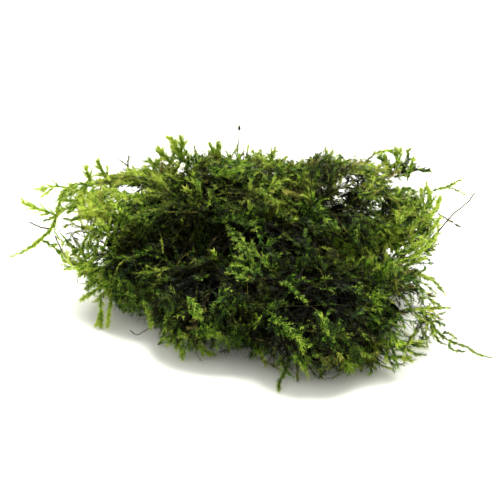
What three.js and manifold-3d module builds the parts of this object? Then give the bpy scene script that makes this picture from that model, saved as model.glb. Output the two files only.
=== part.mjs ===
// A loose clump of peacock moss, lying on its flattened underside.
// Millimetres, +Z up, the front of the clump towards -Y, origin in the middle of the underside.
// The tangle is built as tufts, each a lumpy body with leafy sprigs, and the shoots that stand
// clear of it are pieces of their own.
import * as THREE from "three";
import { mergeVertices } from "three/addons/utils/BufferGeometryUtils.js";
import Module from "manifold-3d";

const wasm = await Module();
wasm.setup();

// Driving dimensions
const GAP = 0.3; // clear space between neighbouring pieces
const MERGE_DISTANCE = 1e-4;
const LUMP_DETAIL = 2;
const LUMP_RELIEF = 0.19; // swells and dips of a tuft, as a share of its radius
const SHOOT_WIDTH = 2.2; // across the two rows of leaves
const SHOOT_THICKNESS = 0.9;
const SHOOT_RING_STEP = 2.6; // one side sprig's width along a shoot
const STEM_WIDTH = 0.6; // a bare stem
const TIP_SHARE = 0.25; // width left at a shoot's tip
const NOTCH_SHARE = 0.62; // width between two side sprigs
const SPRIG_LENGTH = 10.5;
const SPRIG_WIDTH = 4.8;
const SPRIG_THICKNESS = 1.6;
const SPRIG_BOW = 1.4; // how far a sprig's middle stands above a straight line to its tip
const SPRIG_ROOT_DEPTH = 0.8; // where a sprig starts, as a share of the tuft's radius
const SPRIG_LEAN = 1.3; // how far sprigs lean away from the middle of the clump
const SPRIG_DROOP = 0.55; // how far they hang down
const SPRIG_SWAY = 0.45; // how far they turn from side to side
const SPRIG_SHORTEST = 0.85; // shortest sprig, as a share of the usual length
const SPRIG_SPREAD = 0.3; // how much longer the longest one is, as the same share
const SPRIG_MIDDLE = 0.6; // the place along a sprig that must lie outside every other tuft
const SPRIG_TIP_CLEARANCE = 1.08; // how far outside other tufts a tip must end, as a share of their radii
const TUFT_PHASE = 1.7; // sets the relief of each tuft apart from the next one's
const SPRIG_FLOOR_CLEARANCE = 1.2;
const CAPSULE_RADII = [0.5, 0.5, 0.8];
const FLOOR_BLOCK = { width: 240, depth: 40 };
const LEAF_FACING = new THREE.Vector3(0, -0.6, 0.8); // leafy shoots lie open to the light

const COLOURS = {
  bright: 0x8fae2a,
  green: 0x4f7a22,
  deep: 0x2c4716,
  olive: 0x4d4a22,
  stem: 0x4a3d28,
};

// The tufts. Each keeps its whole form, and those after it are cut back where they meet. A reach
// under 1 gives a tuft shorter sprigs, so that the loose shoots there stand clear of it.
const TUFTS = {
  base_mat: { centre: [2, 4, 5.5], radii: [33, 23, 7.5], sprigs: 10, colour: "olive" },
  upper_mat_left: { centre: [-22.5, 10, 21.8], radii: [15, 12, 5.8], sprigs: 30, colour: "green" },
  upper_mat_middle: { centre: [-2, 12, 23], radii: [17, 14, 6.2], sprigs: 26, colour: "green" },
  upper_mat_right: { centre: [20.5, 8, 20.8], radii: [14.5, 15, 9], sprigs: 27, colour: "green" },
  front_tuft_middle: { centre: [-3, -17.5, 9.2], radii: [17, 11, 8.6], sprigs: 28, colour: "green" },
  front_tuft_right: { centre: [14, -24, 9.2], radii: [12.8, 13.5, 9.8], sprigs: 28, colour: "green" },
  front_tuft_left: { centre: [-18.5, -5, 10.4], radii: [13, 9, 7.2], sprigs: 26, colour: "green" },
  middle_tuft: { centre: [6, -8, 16], radii: [13, 11, 7.5], sprigs: 22, colour: "bright" },
  low_right_tuft: { centre: [28.6, -19.6, 7.8], radii: [9.5, 11, 7.6], sprigs: 16, reach: 0.75, colour: "green" },
  right_tuft: { centre: [33.5, 4, 15.5], radii: [6.8, 9, 8.2], sprigs: 18, reach: 0.75, colour: "bright" },
  left_tuft: { centre: [-30.5, 3.6, 14.2], radii: [8, 9, 8], sprigs: 18, reach: 0.7, colour: "bright" },
  back_tuft_left: { centre: [-15, 23, 9], radii: [16, 11, 9], sprigs: 22, colour: "green" },
  back_tuft_right: { centre: [13, 23, 9.5], radii: [20, 11, 9.5], sprigs: 24, colour: "green" },
};

// The shoots that stand clear of the tangle, by the points that each follows from root to tip.
// A list of routes is one branching shoot.
const SHOOTS = {
  left_arching_shoot: {
    colour: "bright",
    routes: [[[-36.6, 8, 26.6], [-39.6, 8, 27.1], [-41.8, 7, 26.6], [-43.7, 6, 24.2],
      [-44.8, 5, 20.8], [-45.7, 3.5, 18.3], [-47.5, 2.5, 16.4], [-51.5, 1.5, 13.4], [-55.6, 1, 11.7]]],
  },
  left_upper_frond: {
    colour: "bright",
    width: 3,
    routes: [[[-42.6, 7.4, 26.5], [-44.4, 7.6, 26.7], [-46.3, 8, 26.3], [-48.1, 8.5, 25.6],
      [-49.8, 9, 25.4]]],
  },
  left_middle_frond: {
    colour: "bright",
    width: 2.8,
    routes: [[[-45.4, 5, 21.3], [-47.4, 5, 21.6], [-49.7, 5.5, 22.1], [-52.7, 6, 23.4]]],
  },
  left_twig: {
    colour: "stem",
    bare: true,
    routes: [[[-46.4, 3.5, 17.9], [-48.5, 3, 18.4], [-51.1, 3, 19.8]]],
  },
  left_inner_frond: {
    colour: "bright",
    routes: [[[-43.4, 4.8, 19.9], [-41.6, 4.5, 19.4], [-38.2, 5, 19.8]]],
  },
  left_crossing_stem: {
    colour: "stem",
    bare: true,
    routes: [[[-45, 2.2, 16.6], [-43.8, 0.5, 14.4], [-41.6, -1.5, 12], [-36.5, -4.5, 9.4]]],
  },
  left_lower_frond: {
    colour: "bright",
    routes: [[[-47.2, 4, 14.2], [-45, 3.2, 12.6], [-42.5, 2, 11.2], [-39.6, 0.5, 9.4],
      [-35.5, -1.5, 7.4]]],
  },
  left_bent_stem: {
    colour: "stem",
    bare: true,
    routes: [[[-41.2, 7.5, 22.2], [-39.9, 7, 20.8], [-39.4, 6.5, 17.6], [-38.6, 5.5, 14.6]]],
  },
  lower_left_frond: {
    colour: "bright",
    routes: [[[-34.5, -6, 7.3], [-35.9, -6.8, 6.4], [-37.2, -7.4, 5.9], [-38.5, -8, 5.2]]],
  },
  hanging_frond_left: {
    colour: "green",
    routes: [[[-33.9, -8.4, 7], [-33.8, -10, 5.3], [-33.8, -11, 3.7], [-34.2, -11.6, 2],
      [-34.9, -12, 0.7]],
    [[-33.7, -11, 4], [-33.8, -11.8, 2.1], [-33.8, -12.2, 0.6]]],
  },
  hanging_frond_middle: {
    colour: "green",
    routes: [[[-31.2, -10, 7.8], [-31.4, -11.4, 6], [-31.8, -12.8, 4], [-32.2, -13.8, 1.4]]],
  },
  hanging_frond_right: {
    colour: "bright",
    routes: [[[-23.4, -17.4, 10.2], [-22.4, -18.8, 8.4], [-21.9, -20, 6.6], [-21.8, -21, 5]]],
  },
  bent_hair_stem: {
    colour: "stem",
    bare: true,
    routes: [[[-20.7, -17.2, 5.1], [-21.8, -17.6, 3.8], [-23.4, -17.6, 2.5], [-25.3, -17, 1.2],
      [-26.9, -15.4, 1.5]]],
  },
  right_bare_stem: {
    colour: "stem",
    bare: true,
    routes: [[[38.8, -2.6, 14.6], [43, 0.4, 18.4], [46.6, 2.6, 21.8], [50.3, 4, 24.7],
      [51.4, 4, 26.7]]],
  },
  right_fine_frond: {
    colour: "bright",
    width: 1.5,
    routes: [[[41, 9.5, 23.9], [44.3, 9.5, 25.3], [46.2, 9.5, 25.9], [49.1, 10.5, 27.2]],
      [[45.6, 9.5, 25.7], [48.1, 9, 25.1], [50.2, 8.5, 24]]],
  },
  right_brown_frond: {
    colour: "olive",
    width: 1.5,
    routes: [[[43.6, 6.5, 20.4], [46.7, 5.5, 18.6], [49, 5, 17.5]]],
  },
  right_upper_frond: {
    colour: "bright",
    routes: [[[40, 5.5, 21.4], [41.4, 6.5, 24], [40.9, 7, 26.9]]],
  },
  trailing_shoot: {
    colour: "green",
    width: 1.8,
    routes: [[[37.1, -21, 9.4], [39.2, -22.6, 7.6], [40.6, -24, 6.1], [41.9, -24.8, 5.1],
      [43.4, -25.4, 4.4], [46.8, -26.4, 3.5], [48.1, -27, 2.8], [49.8, -27.3, 2], [52.4, -27.5, 1.4]],
    [[39.4, -22.8, 7.2], [39.6, -24, 6.1], [40.3, -25.4, 5.4], [41.3, -26.4, 4.5], [42.8, -26.6, 4.1]],
    [[41.5, -24.6, 5.5], [42.8, -24, 5.7], [44.1, -24.4, 5.1], [45.2, -25, 4.4]],
    [[43.2, -25.4, 4.2], [43.3, -26.8, 3.5], [44.3, -27.4, 3.1], [46.6, -27.8, 3.1]]],
  },
  right_low_frond_front: {
    colour: "green",
    routes: [[[37.5, -15, 9.5], [39.5, -15.3, 9.6], [40.9, -15.6, 8.5], [42.4, -15.8, 7.9]]],
  },
  right_low_frond_middle: {
    colour: "green",
    width: 1.6,
    routes: [[[34.9, -14, 6.1], [37.3, -14.6, 6.5], [39.7, -15, 6.9], [42.3, -15.4, 7.1],
      [44.7, -15.6, 7.3]]],
  },
  right_low_frond_back: {
    colour: "green",
    routes: [[[36.7, -9, 13.1], [38.9, -9.4, 11.8], [40.9, -9.8, 11.3], [42.3, -10, 10.1],
      [43.3, -10.2, 8.7], [44, -10.5, 7.8]]],
  },
  right_ground_frond_back: {
    colour: "green",
    routes: [[[31.5, -23, 2.7], [33.5, -23.4, 2.6], [35.6, -23.6, 2.8], [37.8, -23.8, 3]]],
  },
  right_ground_frond_middle: {
    colour: "bright",
    routes: [[[31, -24.8, 1.8], [32.9, -25, 1.9], [34.9, -25.2, 1.8], [36.6, -25.6, 1]]],
  },
  right_ground_frond_front: {
    colour: "bright",
    routes: [[[29.9, -27, 1.1], [31.6, -27.2, 1.5], [33.4, -27.4, 1.3], [35.1, -27.8, 0.8]]],
  },
  front_trailing_frond: {
    colour: "green",
    width: 1.8,
    routes: [[[8.3, -31.6, 4.8], [8.1, -32.8, 3.5], [7.6, -34.4, 2.4], [6.5, -36.4, 1.5],
      [6, -38.2, 0.8], [6, -39.6, 0.5]]],
  },
  front_frond_left: {
    colour: "bright",
    routes: [[[9.3, -32, 5.5], [10.2, -33, 4.1], [11.7, -34.2, 3.1]]],
  },
  front_frond_right: {
    colour: "green",
    width: 1.6,
    routes: [[[14.9, -32.4, 3.3], [15, -33.8, 2.1], [15, -35.6, 1.3]]],
  },
  front_left_frond_back: {
    colour: "bright",
    routes: [[[-17, -22.6, 5.3], [-15.9, -24, 3.6], [-15, -25.4, 2.2], [-14.7, -27, 0.9]]],
  },
  front_left_frond_front: {
    colour: "green",
    routes: [[[-13.1, -24, 4.6], [-11.3, -25, 2.9], [-9.6, -25.6, 1.8], [-7.6, -26, 1.3]]],
  },
  top_left_frond_outer: {
    colour: "bright",
    routes: [[[-37.2, 11.4, 25.6], [-37.7, 11.4, 28], [-38.4, 11.4, 30.2]]],
  },
  top_left_frond_inner: {
    colour: "bright",
    routes: [[[-33, 12, 26.4], [-34.6, 12, 28.8], [-35.6, 12, 31.2]]],
  },
  top_frond_first: {
    colour: "bright",
    routes: [[[-18.6, 15, 28.6], [-20.2, 15.4, 31.1], [-21.6, 16, 33.1]]],
  },
  top_frond_second: {
    colour: "bright",
    routes: [[[-15, 15, 28.8], [-16.7, 15.6, 32.2], [-17.6, 16, 33.9], [-18.5, 16, 35.4]],
      [[-16.2, 15.6, 32], [-15.9, 16, 33.9], [-16.4, 16, 35.9]]],
  },
  top_frond_third: {
    colour: "bright",
    routes: [[[-8, 15, 28.4], [-8.6, 16, 31.6], [-9.7, 16, 34.3]],
      [[-8.4, 15.6, 30.6], [-7.4, 16, 32.6], [-7.5, 16, 34.6]]],
  },
  top_frond_fourth: {
    colour: "bright",
    routes: [[[4.2, 15, 28.4], [5, 15.4, 30.6], [6, 16, 32.8]]],
  },
  capsule_stalk: {
    colour: "stem",
    bare: true,
    capsule: [-2.5, 16, 37.8],
    routes: [[[-2.8, 16, 28.4], [-2.9, 16, 31.6], [-2.7, 16, 35], [-2.6, 16, 37.2]]],
  },
  top_arch_frond: {
    colour: "bright",
    width: 1.8,
    routes: [[[26.8, 15, 28.9], [28.5, 15.6, 30.7], [30.3, 16, 31.8], [32.4, 16, 32.1],
      [34.5, 15.6, 32.6]]],
  },
  top_frond_fifth: {
    colour: "bright",
    routes: [[[33.8, 11.4, 28.2], [34.5, 11.6, 30.8], [34.9, 12, 34]]],
  },
  top_frond_sixth: {
    colour: "bright",
    routes: [[[36.8, 11.4, 26.4], [37.4, 11.4, 29.4], [38, 11.4, 32.6]]],
  },
  top_dark_frond: {
    colour: "deep",
    width: 2.6,
    routes: [[[35.4, 16, 26], [38.6, 16.6, 27.2], [42.4, 16, 27.3]]],
  },
};

function solidFrom(geometry) {
  geometry.deleteAttribute("normal");
  geometry.deleteAttribute("uv");
  const merged = mergeVertices(geometry, MERGE_DISTANCE);
  return new wasm.Manifold(new wasm.Mesh({
    numProp: 3,
    vertProperties: new Float32Array(merged.attributes.position.array),
    triVerts: new Uint32Array(merged.index.array),
  }));
}

function geometryFrom(solid) {
  const mesh = solid.getMesh();
  const geometry = new THREE.BufferGeometry();
  geometry.setAttribute("position", new THREE.BufferAttribute(new Float32Array(mesh.vertProperties), 3));
  geometry.setIndex(new THREE.BufferAttribute(new Uint32Array(mesh.triVerts), 1));
  geometry.computeVertexNormals();
  return geometry;
}

// A cut can leave crumbs beside a piece, so only its largest body stays.
function mainBody(solid) {
  const bodies = solid.decompose();
  return bodies.reduce((best, body) => (body.volume() > best.volume() ? body : best));
}

// Moves every vertex of a geometry to where place(point) puts it.
function reshape(geometry, place) {
  const points = geometry.attributes.position;
  const point = new THREE.Vector3();
  for (let i = 0; i < points.count; i += 1) {
    point.fromBufferAttribute(points, i);
    const moved = place(point);
    points.setXYZ(i, moved.x, moved.y, moved.z);
  }
  return geometry;
}

// The space under the resting plane, which presses every tuft flat.
function floorBlock() {
  const geometry = new THREE.BoxGeometry(FLOOR_BLOCK.width, FLOOR_BLOCK.width, FLOOR_BLOCK.depth);
  geometry.translate(0, 0, -FLOOR_BLOCK.depth / 2);
  return solidFrom(geometry);
}

function swellsAndDips(direction, phase) {
  const broad = Math.sin(3.3 * direction.x + 2.1 * direction.y + phase);
  const middle = Math.sin(5.7 * direction.y - 4.1 * direction.z + 2 * phase);
  const fine = Math.sin(9.1 * direction.z + 8.3 * direction.x + 3 * phase);
  const finest = Math.sin(13.7 * direction.y - 12.1 * direction.x + 5 * phase);
  return 0.35 * broad + 0.25 * middle + 0.25 * fine + 0.3 * finest;
}

// The body of a tuft: an ellipsoid with swells and dips.
function lump(tuft, phase, swell) {
  const centre = new THREE.Vector3(...tuft.centre);
  const radii = new THREE.Vector3(...tuft.radii).addScalar(swell);
  const geometry = reshape(new THREE.IcosahedronGeometry(1, LUMP_DETAIL), (point) => {
    const direction = point.clone().normalize();
    const relief = 1 + LUMP_RELIEF * swellsAndDips(direction, phase);
    return direction.multiply(radii).multiplyScalar(relief).add(centre);
  });
  return solidFrom(geometry);
}

function isInside(point, tuft, scale) {
  const offset = point.clone().sub(new THREE.Vector3(...tuft.centre));
  offset.divide(new THREE.Vector3(...tuft.radii)).divideScalar(scale);
  return offset.length() < 1;
}

// Where the sprigs of a tuft grow: spread evenly over it, on the part that no other tuft covers.
function sprigPlaces(name, tuft) {
  const goldenAngle = Math.PI * (3 - Math.sqrt(5));
  const centre = new THREE.Vector3(...tuft.centre);
  const radii = new THREE.Vector3(...tuft.radii);
  const others = Object.entries(TUFTS).filter(([key]) => key !== name).map(([, other]) => other);
  const places = [];
  for (let k = 0; k < tuft.sprigs; k += 1) {
    const height = 1 - (2 * (k + 0.5)) / tuft.sprigs;
    const ring = Math.sqrt(1 - height * height);
    const turn = k * goldenAngle;
    const direction = new THREE.Vector3(ring * Math.cos(turn), ring * Math.sin(turn), height);
    const root = direction.clone().multiply(radii).multiplyScalar(SPRIG_ROOT_DEPTH).add(centre);
    const away = new THREE.Vector3(root.x, root.y, 0).normalize().multiplyScalar(SPRIG_LEAN);
    const sway = new THREE.Vector3(Math.sin(2.4 * k), Math.cos(3.7 * k), 0).multiplyScalar(SPRIG_SWAY);
    const droop = new THREE.Vector3(0, 0, -SPRIG_DROOP);
    const growth = direction.clone().divide(radii).normalize().add(away).add(sway).add(droop)
      .normalize();
    const reach = SPRIG_LENGTH * (tuft.reach ?? 1);
    const length = reach * (SPRIG_SHORTEST + SPRIG_SPREAD * Math.abs(Math.sin(5.1 * k)));
    const tip = root.clone().addScaledVector(growth, length);
    const middle = root.clone().addScaledVector(growth, length * SPRIG_MIDDLE);
    const covered = others.some((other) => (
      isInside(tip, other, SPRIG_TIP_CLEARANCE) || isInside(middle, other, 1)
    ));
    if (!covered && tip.z > SPRIG_FLOOR_CLEARANCE) {
      places.push({ root, growth, length });
    }
  }
  return places;
}

// One leafy sprig: a flat pointed blade that bows from its root to its tip.
function sprig({ root, growth, length }, swell) {
  const side = new THREE.Vector3().crossVectors(growth, LEAF_FACING).normalize();
  const face = new THREE.Vector3().crossVectors(side, growth);
  const geometry = reshape(new THREE.OctahedronGeometry(1, 0), (point) => {
    const along = (point.y + 1) * 0.5 * length + point.y * swell;
    const across = point.x * (SPRIG_WIDTH / 2 + swell);
    const through = point.z * (SPRIG_THICKNESS / 2 + swell) + SPRIG_BOW * (1 - point.y * point.y);
    return root.clone().addScaledVector(growth, along).addScaledVector(side, across)
      .addScaledVector(face, through);
  });
  return solidFrom(geometry);
}

function tuftSolid(name, tuft, phase, swell) {
  let solid = lump(tuft, phase, swell);
  for (const place of sprigPlaces(name, tuft)) {
    solid = solid.add(sprig(place, swell));
  }
  return solid;
}

// A shoot along a route: a flat body with a notch between its side sprigs, or a plain bare stem.
function shootAlong(route, shoot, swell) {
  const curve = new THREE.CatmullRomCurve3(route.map((point) => new THREE.Vector3(...point)));
  const rings = Math.max(2, Math.round(curve.getLength() / SHOOT_RING_STEP));
  const width = shoot.bare ? STEM_WIDTH : shoot.width ?? SHOOT_WIDTH;
  const thickness = shoot.bare ? STEM_WIDTH : SHOOT_THICKNESS;
  const geometry = reshape(new THREE.CylinderGeometry(1, 1, 1, 4, rings), (point) => {
    const t = Math.min(1, Math.max(0, point.y + 0.5));
    const tangent = curve.getTangentAt(t);
    const side = new THREE.Vector3().crossVectors(tangent, LEAF_FACING).normalize();
    const face = new THREE.Vector3().crossVectors(side, tangent);
    const notch = Math.round(t * rings) % 2 === 0 ? NOTCH_SHARE : 1;
    const taper = t < 1 ? notch : TIP_SHARE;
    const share = shoot.bare ? 1 : taper;
    const end = swell * (2 * t - 1);
    return curve.getPointAt(t).addScaledVector(tangent, end)
      .addScaledVector(side, point.x * ((width / 2) * share + swell))
      .addScaledVector(face, point.z * ((thickness / 2) * share + swell));
  });
  return solidFrom(geometry);
}

function capsule(centre, swell) {
  const [rx, ry, rz] = CAPSULE_RADII;
  const geometry = new THREE.IcosahedronGeometry(1, 0);
  geometry.scale(rx + swell, ry + swell, rz + swell);
  geometry.translate(...centre);
  return solidFrom(geometry);
}

function shootSolid(shoot, swell) {
  let solid = shootAlong(shoot.routes[0], shoot, swell);
  for (const route of shoot.routes.slice(1)) {
    solid = solid.add(shootAlong(route, shoot, swell));
  }
  return shoot.capsule ? solid.add(capsule(shoot.capsule, swell)) : solid;
}

function mossMesh(name, solid, colour) {
  const material = new THREE.MeshStandardMaterial({
    color: COLOURS[colour],
    roughness: colour === "stem" ? 0.7 : 0.5,
    metalness: 0,
  });
  const mesh = new THREE.Mesh(geometryFrom(solid), material);
  mesh.name = name;
  return mesh;
}

function mossClump() {
  const group = new THREE.Group();
  const floor = floorBlock();
  const claimed = [floor];
  const addPiece = (name, colour, buildSolid) => {
    let solid = buildSolid(0);
    for (const neighbour of claimed) {
      solid = solid.subtract(neighbour);
    }
    group.add(mossMesh(name, mainBody(solid), colour));
    claimed.push(buildSolid(GAP));
  };
  Object.entries(TUFTS).forEach(([name, tuft], index) => {
    addPiece(name, tuft.colour, (swell) => tuftSolid(name, tuft, TUFT_PHASE * index, swell));
  });
  Object.entries(SHOOTS).forEach(([name, shoot]) => {
    addPiece(name, shoot.colour, (swell) => shootSolid(shoot, swell));
  });
  return group;
}

export default mossClump();
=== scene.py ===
"""A loose clump of peacock moss on a pale table: thousands of leafy shoots over an old dark tangle,
whose near-black colour is also a painted shade.
"""

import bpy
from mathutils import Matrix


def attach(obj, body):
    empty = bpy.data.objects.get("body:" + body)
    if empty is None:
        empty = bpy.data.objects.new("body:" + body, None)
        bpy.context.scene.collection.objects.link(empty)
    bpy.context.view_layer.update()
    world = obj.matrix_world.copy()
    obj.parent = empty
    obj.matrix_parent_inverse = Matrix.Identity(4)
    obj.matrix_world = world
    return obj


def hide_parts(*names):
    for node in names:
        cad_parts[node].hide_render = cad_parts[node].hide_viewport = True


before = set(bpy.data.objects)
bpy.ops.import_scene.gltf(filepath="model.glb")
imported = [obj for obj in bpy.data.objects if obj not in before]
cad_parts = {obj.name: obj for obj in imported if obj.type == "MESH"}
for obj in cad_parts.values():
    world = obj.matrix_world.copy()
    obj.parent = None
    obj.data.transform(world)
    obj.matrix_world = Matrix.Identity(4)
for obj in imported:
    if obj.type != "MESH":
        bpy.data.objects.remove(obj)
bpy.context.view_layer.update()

import math

import bmesh
import bpy
import numpy as np
from bpy.props import FloatProperty, FloatVectorProperty, IntProperty, PointerProperty
from mathutils import Vector

bl_info = {
    "name": "Peacock Moss Clump",
    "version": (1, 0, 0),
    "blender": (4, 5, 0),
    "location": "3D View > Sidebar > Moss",
    "description": "Grows a loose clump of peacock moss shoot by shoot, with its pale table and light",
    "category": "Add Mesh",
}

MM = 0.001
UP = np.array([0.0, 0.0, 1.0])
CLUMP_HALF = np.array([47.0, 38.0])  # half the length and depth of the dense clump, mm

# The camera that sees the clump as the photo does, in mm and degrees. The photo is square.
PHOTO_PIXELS = 500
LENS = 100
SENSOR = 36
VIEW_ANGLE = 26
VIEW_DISTANCE = 320
VIEW_TARGET = np.array([0.0, 0.0, 14.0])
VIEW_WAY = np.array([0.0, math.cos(math.radians(VIEW_ANGLE)), -math.sin(math.radians(VIEW_ANGLE))])
VIEW_RIGHT = np.array([1.0, 0.0, 0.0])
VIEW_UP = np.cross(VIEW_RIGHT, VIEW_WAY)
EYE = VIEW_TARGET - VIEW_DISTANCE * VIEW_WAY
PIXELS_AWAY = LENS / SENSOR * PHOTO_PIXELS  # how far the photo would hang from the eye, in pixels

# The tufts of the clump in mm: centre and radii, as in the solids.
TUFTS = {
    "base_mat": ((2, 4, 5.5), (33, 23, 7.5)),
    "upper_mat_left": ((-22.5, 10, 21.8), (15, 12, 5.8)),
    "upper_mat_middle": ((-2, 12, 23), (17, 14, 6.2)),
    "upper_mat_right": ((20.5, 8, 20.8), (14.5, 15, 9)),
    "front_tuft_middle": ((-3, -17.5, 9.2), (17, 11, 8.6)),
    "front_tuft_right": ((14, -24, 9.2), (12.8, 13.5, 9.8)),
    "front_tuft_left": ((-18.5, -5, 10.4), (13, 9, 7.2)),
    "middle_tuft": ((6, -8, 16), (13, 11, 7.5)),
    "low_right_tuft": ((28.6, -19.6, 7.8), (9.5, 11, 7.6)),
    "right_tuft": ((33.5, 4, 15.5), (6.8, 9, 8.2)),
    "left_tuft": ((-30.5, 3.6, 14.2), (8, 9, 8)),
    "back_tuft_left": ((-15, 23, 9), (16, 11, 9)),
    "back_tuft_right": ((13, 23, 9.5), (20, 11, 9.5)),
}

# How densely shoots root on a tuft, against the rest. Most of the base lies under other tufts.
THINNER = {"base_mat": 0.35, "back_tuft_left": 0.8, "back_tuft_right": 0.8, "low_right_tuft": 0.85,
           "right_tuft": 0.55, "left_tuft": 0.6}

# How much further than usual the shoots of a tuft may stand off it, in mm, and how much larger
# their leaves are for each of these mm.
AIRY = {"left_tuft": 3.6, "right_tuft": 1.2, "low_right_tuft": 1.6}
AIRY_GROWTH = 0.08

# The way that the shoots of a tuft sweep, where it isn't away from the middle of the clump.
SWEEP = {"right_tuft": (0.85, 0.2, 0.6), "left_tuft": (-0.9, 0.1, 0.25),
         "low_right_tuft": (0.9, -0.2, -0.1), "upper_mat_left": (-1.0, -0.2, 0.0),
         "upper_mat_middle": (0.5, -0.7, 0.1)}

# How far the dark old tangle fills a tuft, as a share of its radii, where it isn't the usual share.
# Its near-black is partly old litter and partly a painted shade for the inside of the clump.
FULLER = {"base_mat": 0.92, "middle_tuft": 0.74, "upper_mat_middle": 0.7, "left_tuft": 0.34,
          "right_tuft": 0.35, "upper_mat_left": 0.3, "upper_mat_right": 0.1, "low_right_tuft": 0.42,
          "back_tuft_right": 0.55, "back_tuft_left": 0.6}

# How shoots grow: in the shade of others, creeping over the tuft, as thin old strands, standing
# free, and as bare hairs. share is against the number that the density gives, height is over the
# tuft in mm, and length is against the usual one. pull is how hard a shoot keeps to its height,
# droop how fast it hangs and rise how steeply it starts. size is that of its leaves. light and dry
# are added to its tone and its brown, branched is the share with side branches, and leafy is 0
# for stems that have lost their leaves. The lower light of the shaded ones is a painted shade.
HABITS = {
    "shaded": {"share": 0.24, "height": (-2.6, -0.6), "length": 1.0, "pull": 0.7, "droop": 0.04,
               "rise": 0.25, "size": (0.6, 1.0), "light": -0.16, "dry": 0.05, "branched": 0.5,
               "leafy": 1.0},
    "creeping": {"share": 0.44, "height": (-0.6, 1.5), "length": 0.9, "pull": 0.6, "droop": 0.05,
                 "rise": 0.25, "size": (0.65, 1.05), "light": 0.02, "dry": 0.0, "branched": 0.75,
                 "leafy": 1.0},
    "strand": {"share": 0.2, "height": (-0.6, 2.0), "length": 1.5, "pull": 0.4, "droop": 0.07,
               "rise": 0.3, "size": (0.28, 0.5), "light": 0.08, "dry": 0.32, "branched": 0.12,
               "leafy": 1.0},
    "free": {"share": 0.12, "height": (0.8, 2.4), "length": 0.6, "pull": 0.3, "droop": 0.08,
             "rise": 0.5, "size": (0.65, 1.0), "light": 0.1, "dry": 0.0, "branched": 0.5,
             "leafy": 1.0},
    "hair": {"share": 0.08, "height": (0.0, 2.6), "length": 1.6, "pull": 0.35, "droop": 0.05,
             "rise": 0.35, "size": (0.55, 0.9), "light": 0.12, "dry": 0.4, "branched": 0.0,
             "leafy": 0.0},
}

# Places that look unlike the rest: centre and radii in mm, then how much lighter the shoots are
# there, how much browner, and the share of them that grow. Where a zone's comment says so, its
# lighter or darker tone is painted light or painted shade; the others are the moss's own colour.
ZONES = [
    ((-13, -6, 18.5), (17, 8, 6), -0.08, 0.0, 0.5),  # painted shade in the recess under the upper tier
    ((-5, -6, 19), (9, 7, 6), -0.22, 0.05, 0.4),  # painted shade at its right end, behind the bright frond
    ((-16, -17, 12), (11, 9, 6), -0.12, 0.05, 0.7),  # painted shade on the dim top of the left front tuft
    ((-26, -8, 9), (11, 10, 7), 0.08, -0.1, 1.0),  # the green lower left
    ((-1, -17, 22), (5, 5, 5), 0.1, -0.2, 1.0),  # the bright frond in the middle
    ((-41, 5, 19), (12, 12, 11), 0.54, -0.1, 0.5),  # painted light where light comes through the airy left fringe
    ((-30, 7, 25), (14, 12, 6), 0.27, -0.1, 0.72),  # painted light on the upper left, where the light falls
    ((42, 5, 21), (12, 15, 11), 0.26, -0.12, 0.72),  # painted light on the right end
    ((30, 14, 27), (10, 9, 6), 0.12, 0.1, 0.75),  # the thin top right
    ((25, -1, 25), (10, 6, 5), 0.0, 0.1, 0.75),  # old growth below it
    ((37, -20, 8), (8, 10, 8), 0.06, 0.05, 0.34),  # the open lower right
    ((13, -31, 15), (15, 8, 8), -0.14, 0.05, 0.7),  # painted shade in the hollow in the front
    ((8, -18, 21), (14, 9, 6), -0.1, 0.08, 0.8),  # painted shade on the mound beside the bright frond
    ((4, -30, 8), (14, 7, 6), -0.12, 0.0, 0.8),  # painted shade at the middle of the front
    ((-14, 6, 27), (12, 9, 5), -0.1, 0.14, 0.9),  # olive growth at the upper left
    ((-3, 2, 27), (13, 8, 6), -0.02, 0.0, 1.0),  # the lip of the upper tier
    ((18, 8, 29), (8, 7, 5), -0.16, 0.08, 1.0),  # a dark clump in the top edge
    ((31, 0, 26), (6, 6, 6), 0.07, -0.05, 0.8),  # pale fronds above the right end
    ((11, -9, 24), (8, 5, 5), -0.16, 0.05, 0.9),  # painted shade below the lip
    ((26, -8, 17), (13, 9, 7), 0.1, 0.0, 1.0),  # green growth at the right of the front
    ((-12, -20, 17), (9, 6, 5), -0.14, 0.0, 0.8),  # painted shade in the hollow left of the bright frond
    ((18, -36, 12), (13, 7, 9), -0.16, 0.0, 1.0),  # painted shade on the right end of the front
    ((10, -34, 14), (12, 7, 7), -0.1, 0.0, 1.0),  # painted shade above the front edge
    ((-37, -3, 10), (7, 9, 7), 0.2, -0.1, 1.0),  # green sprigs at the lower left end
    ((-10, -2, 26), (5, 5, 5), 0.1, 0.0, 1.0),  # painted light on the shoots over the recess
    ((31, -12, 12), (7, 7, 6), 0.1, 0.0, 1.0),  # painted light on the growth under the right end
    ((-17, -22, 5), (9, 7, 5), 0.14, 0.0, 1.0),  # green sprigs over the table at the left
]
# A zone has its full effect within about half its radii, and fades out at about 1.5 times them.
ZONE_REACH = 1.6
ZONE_FADE = 1.1

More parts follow.
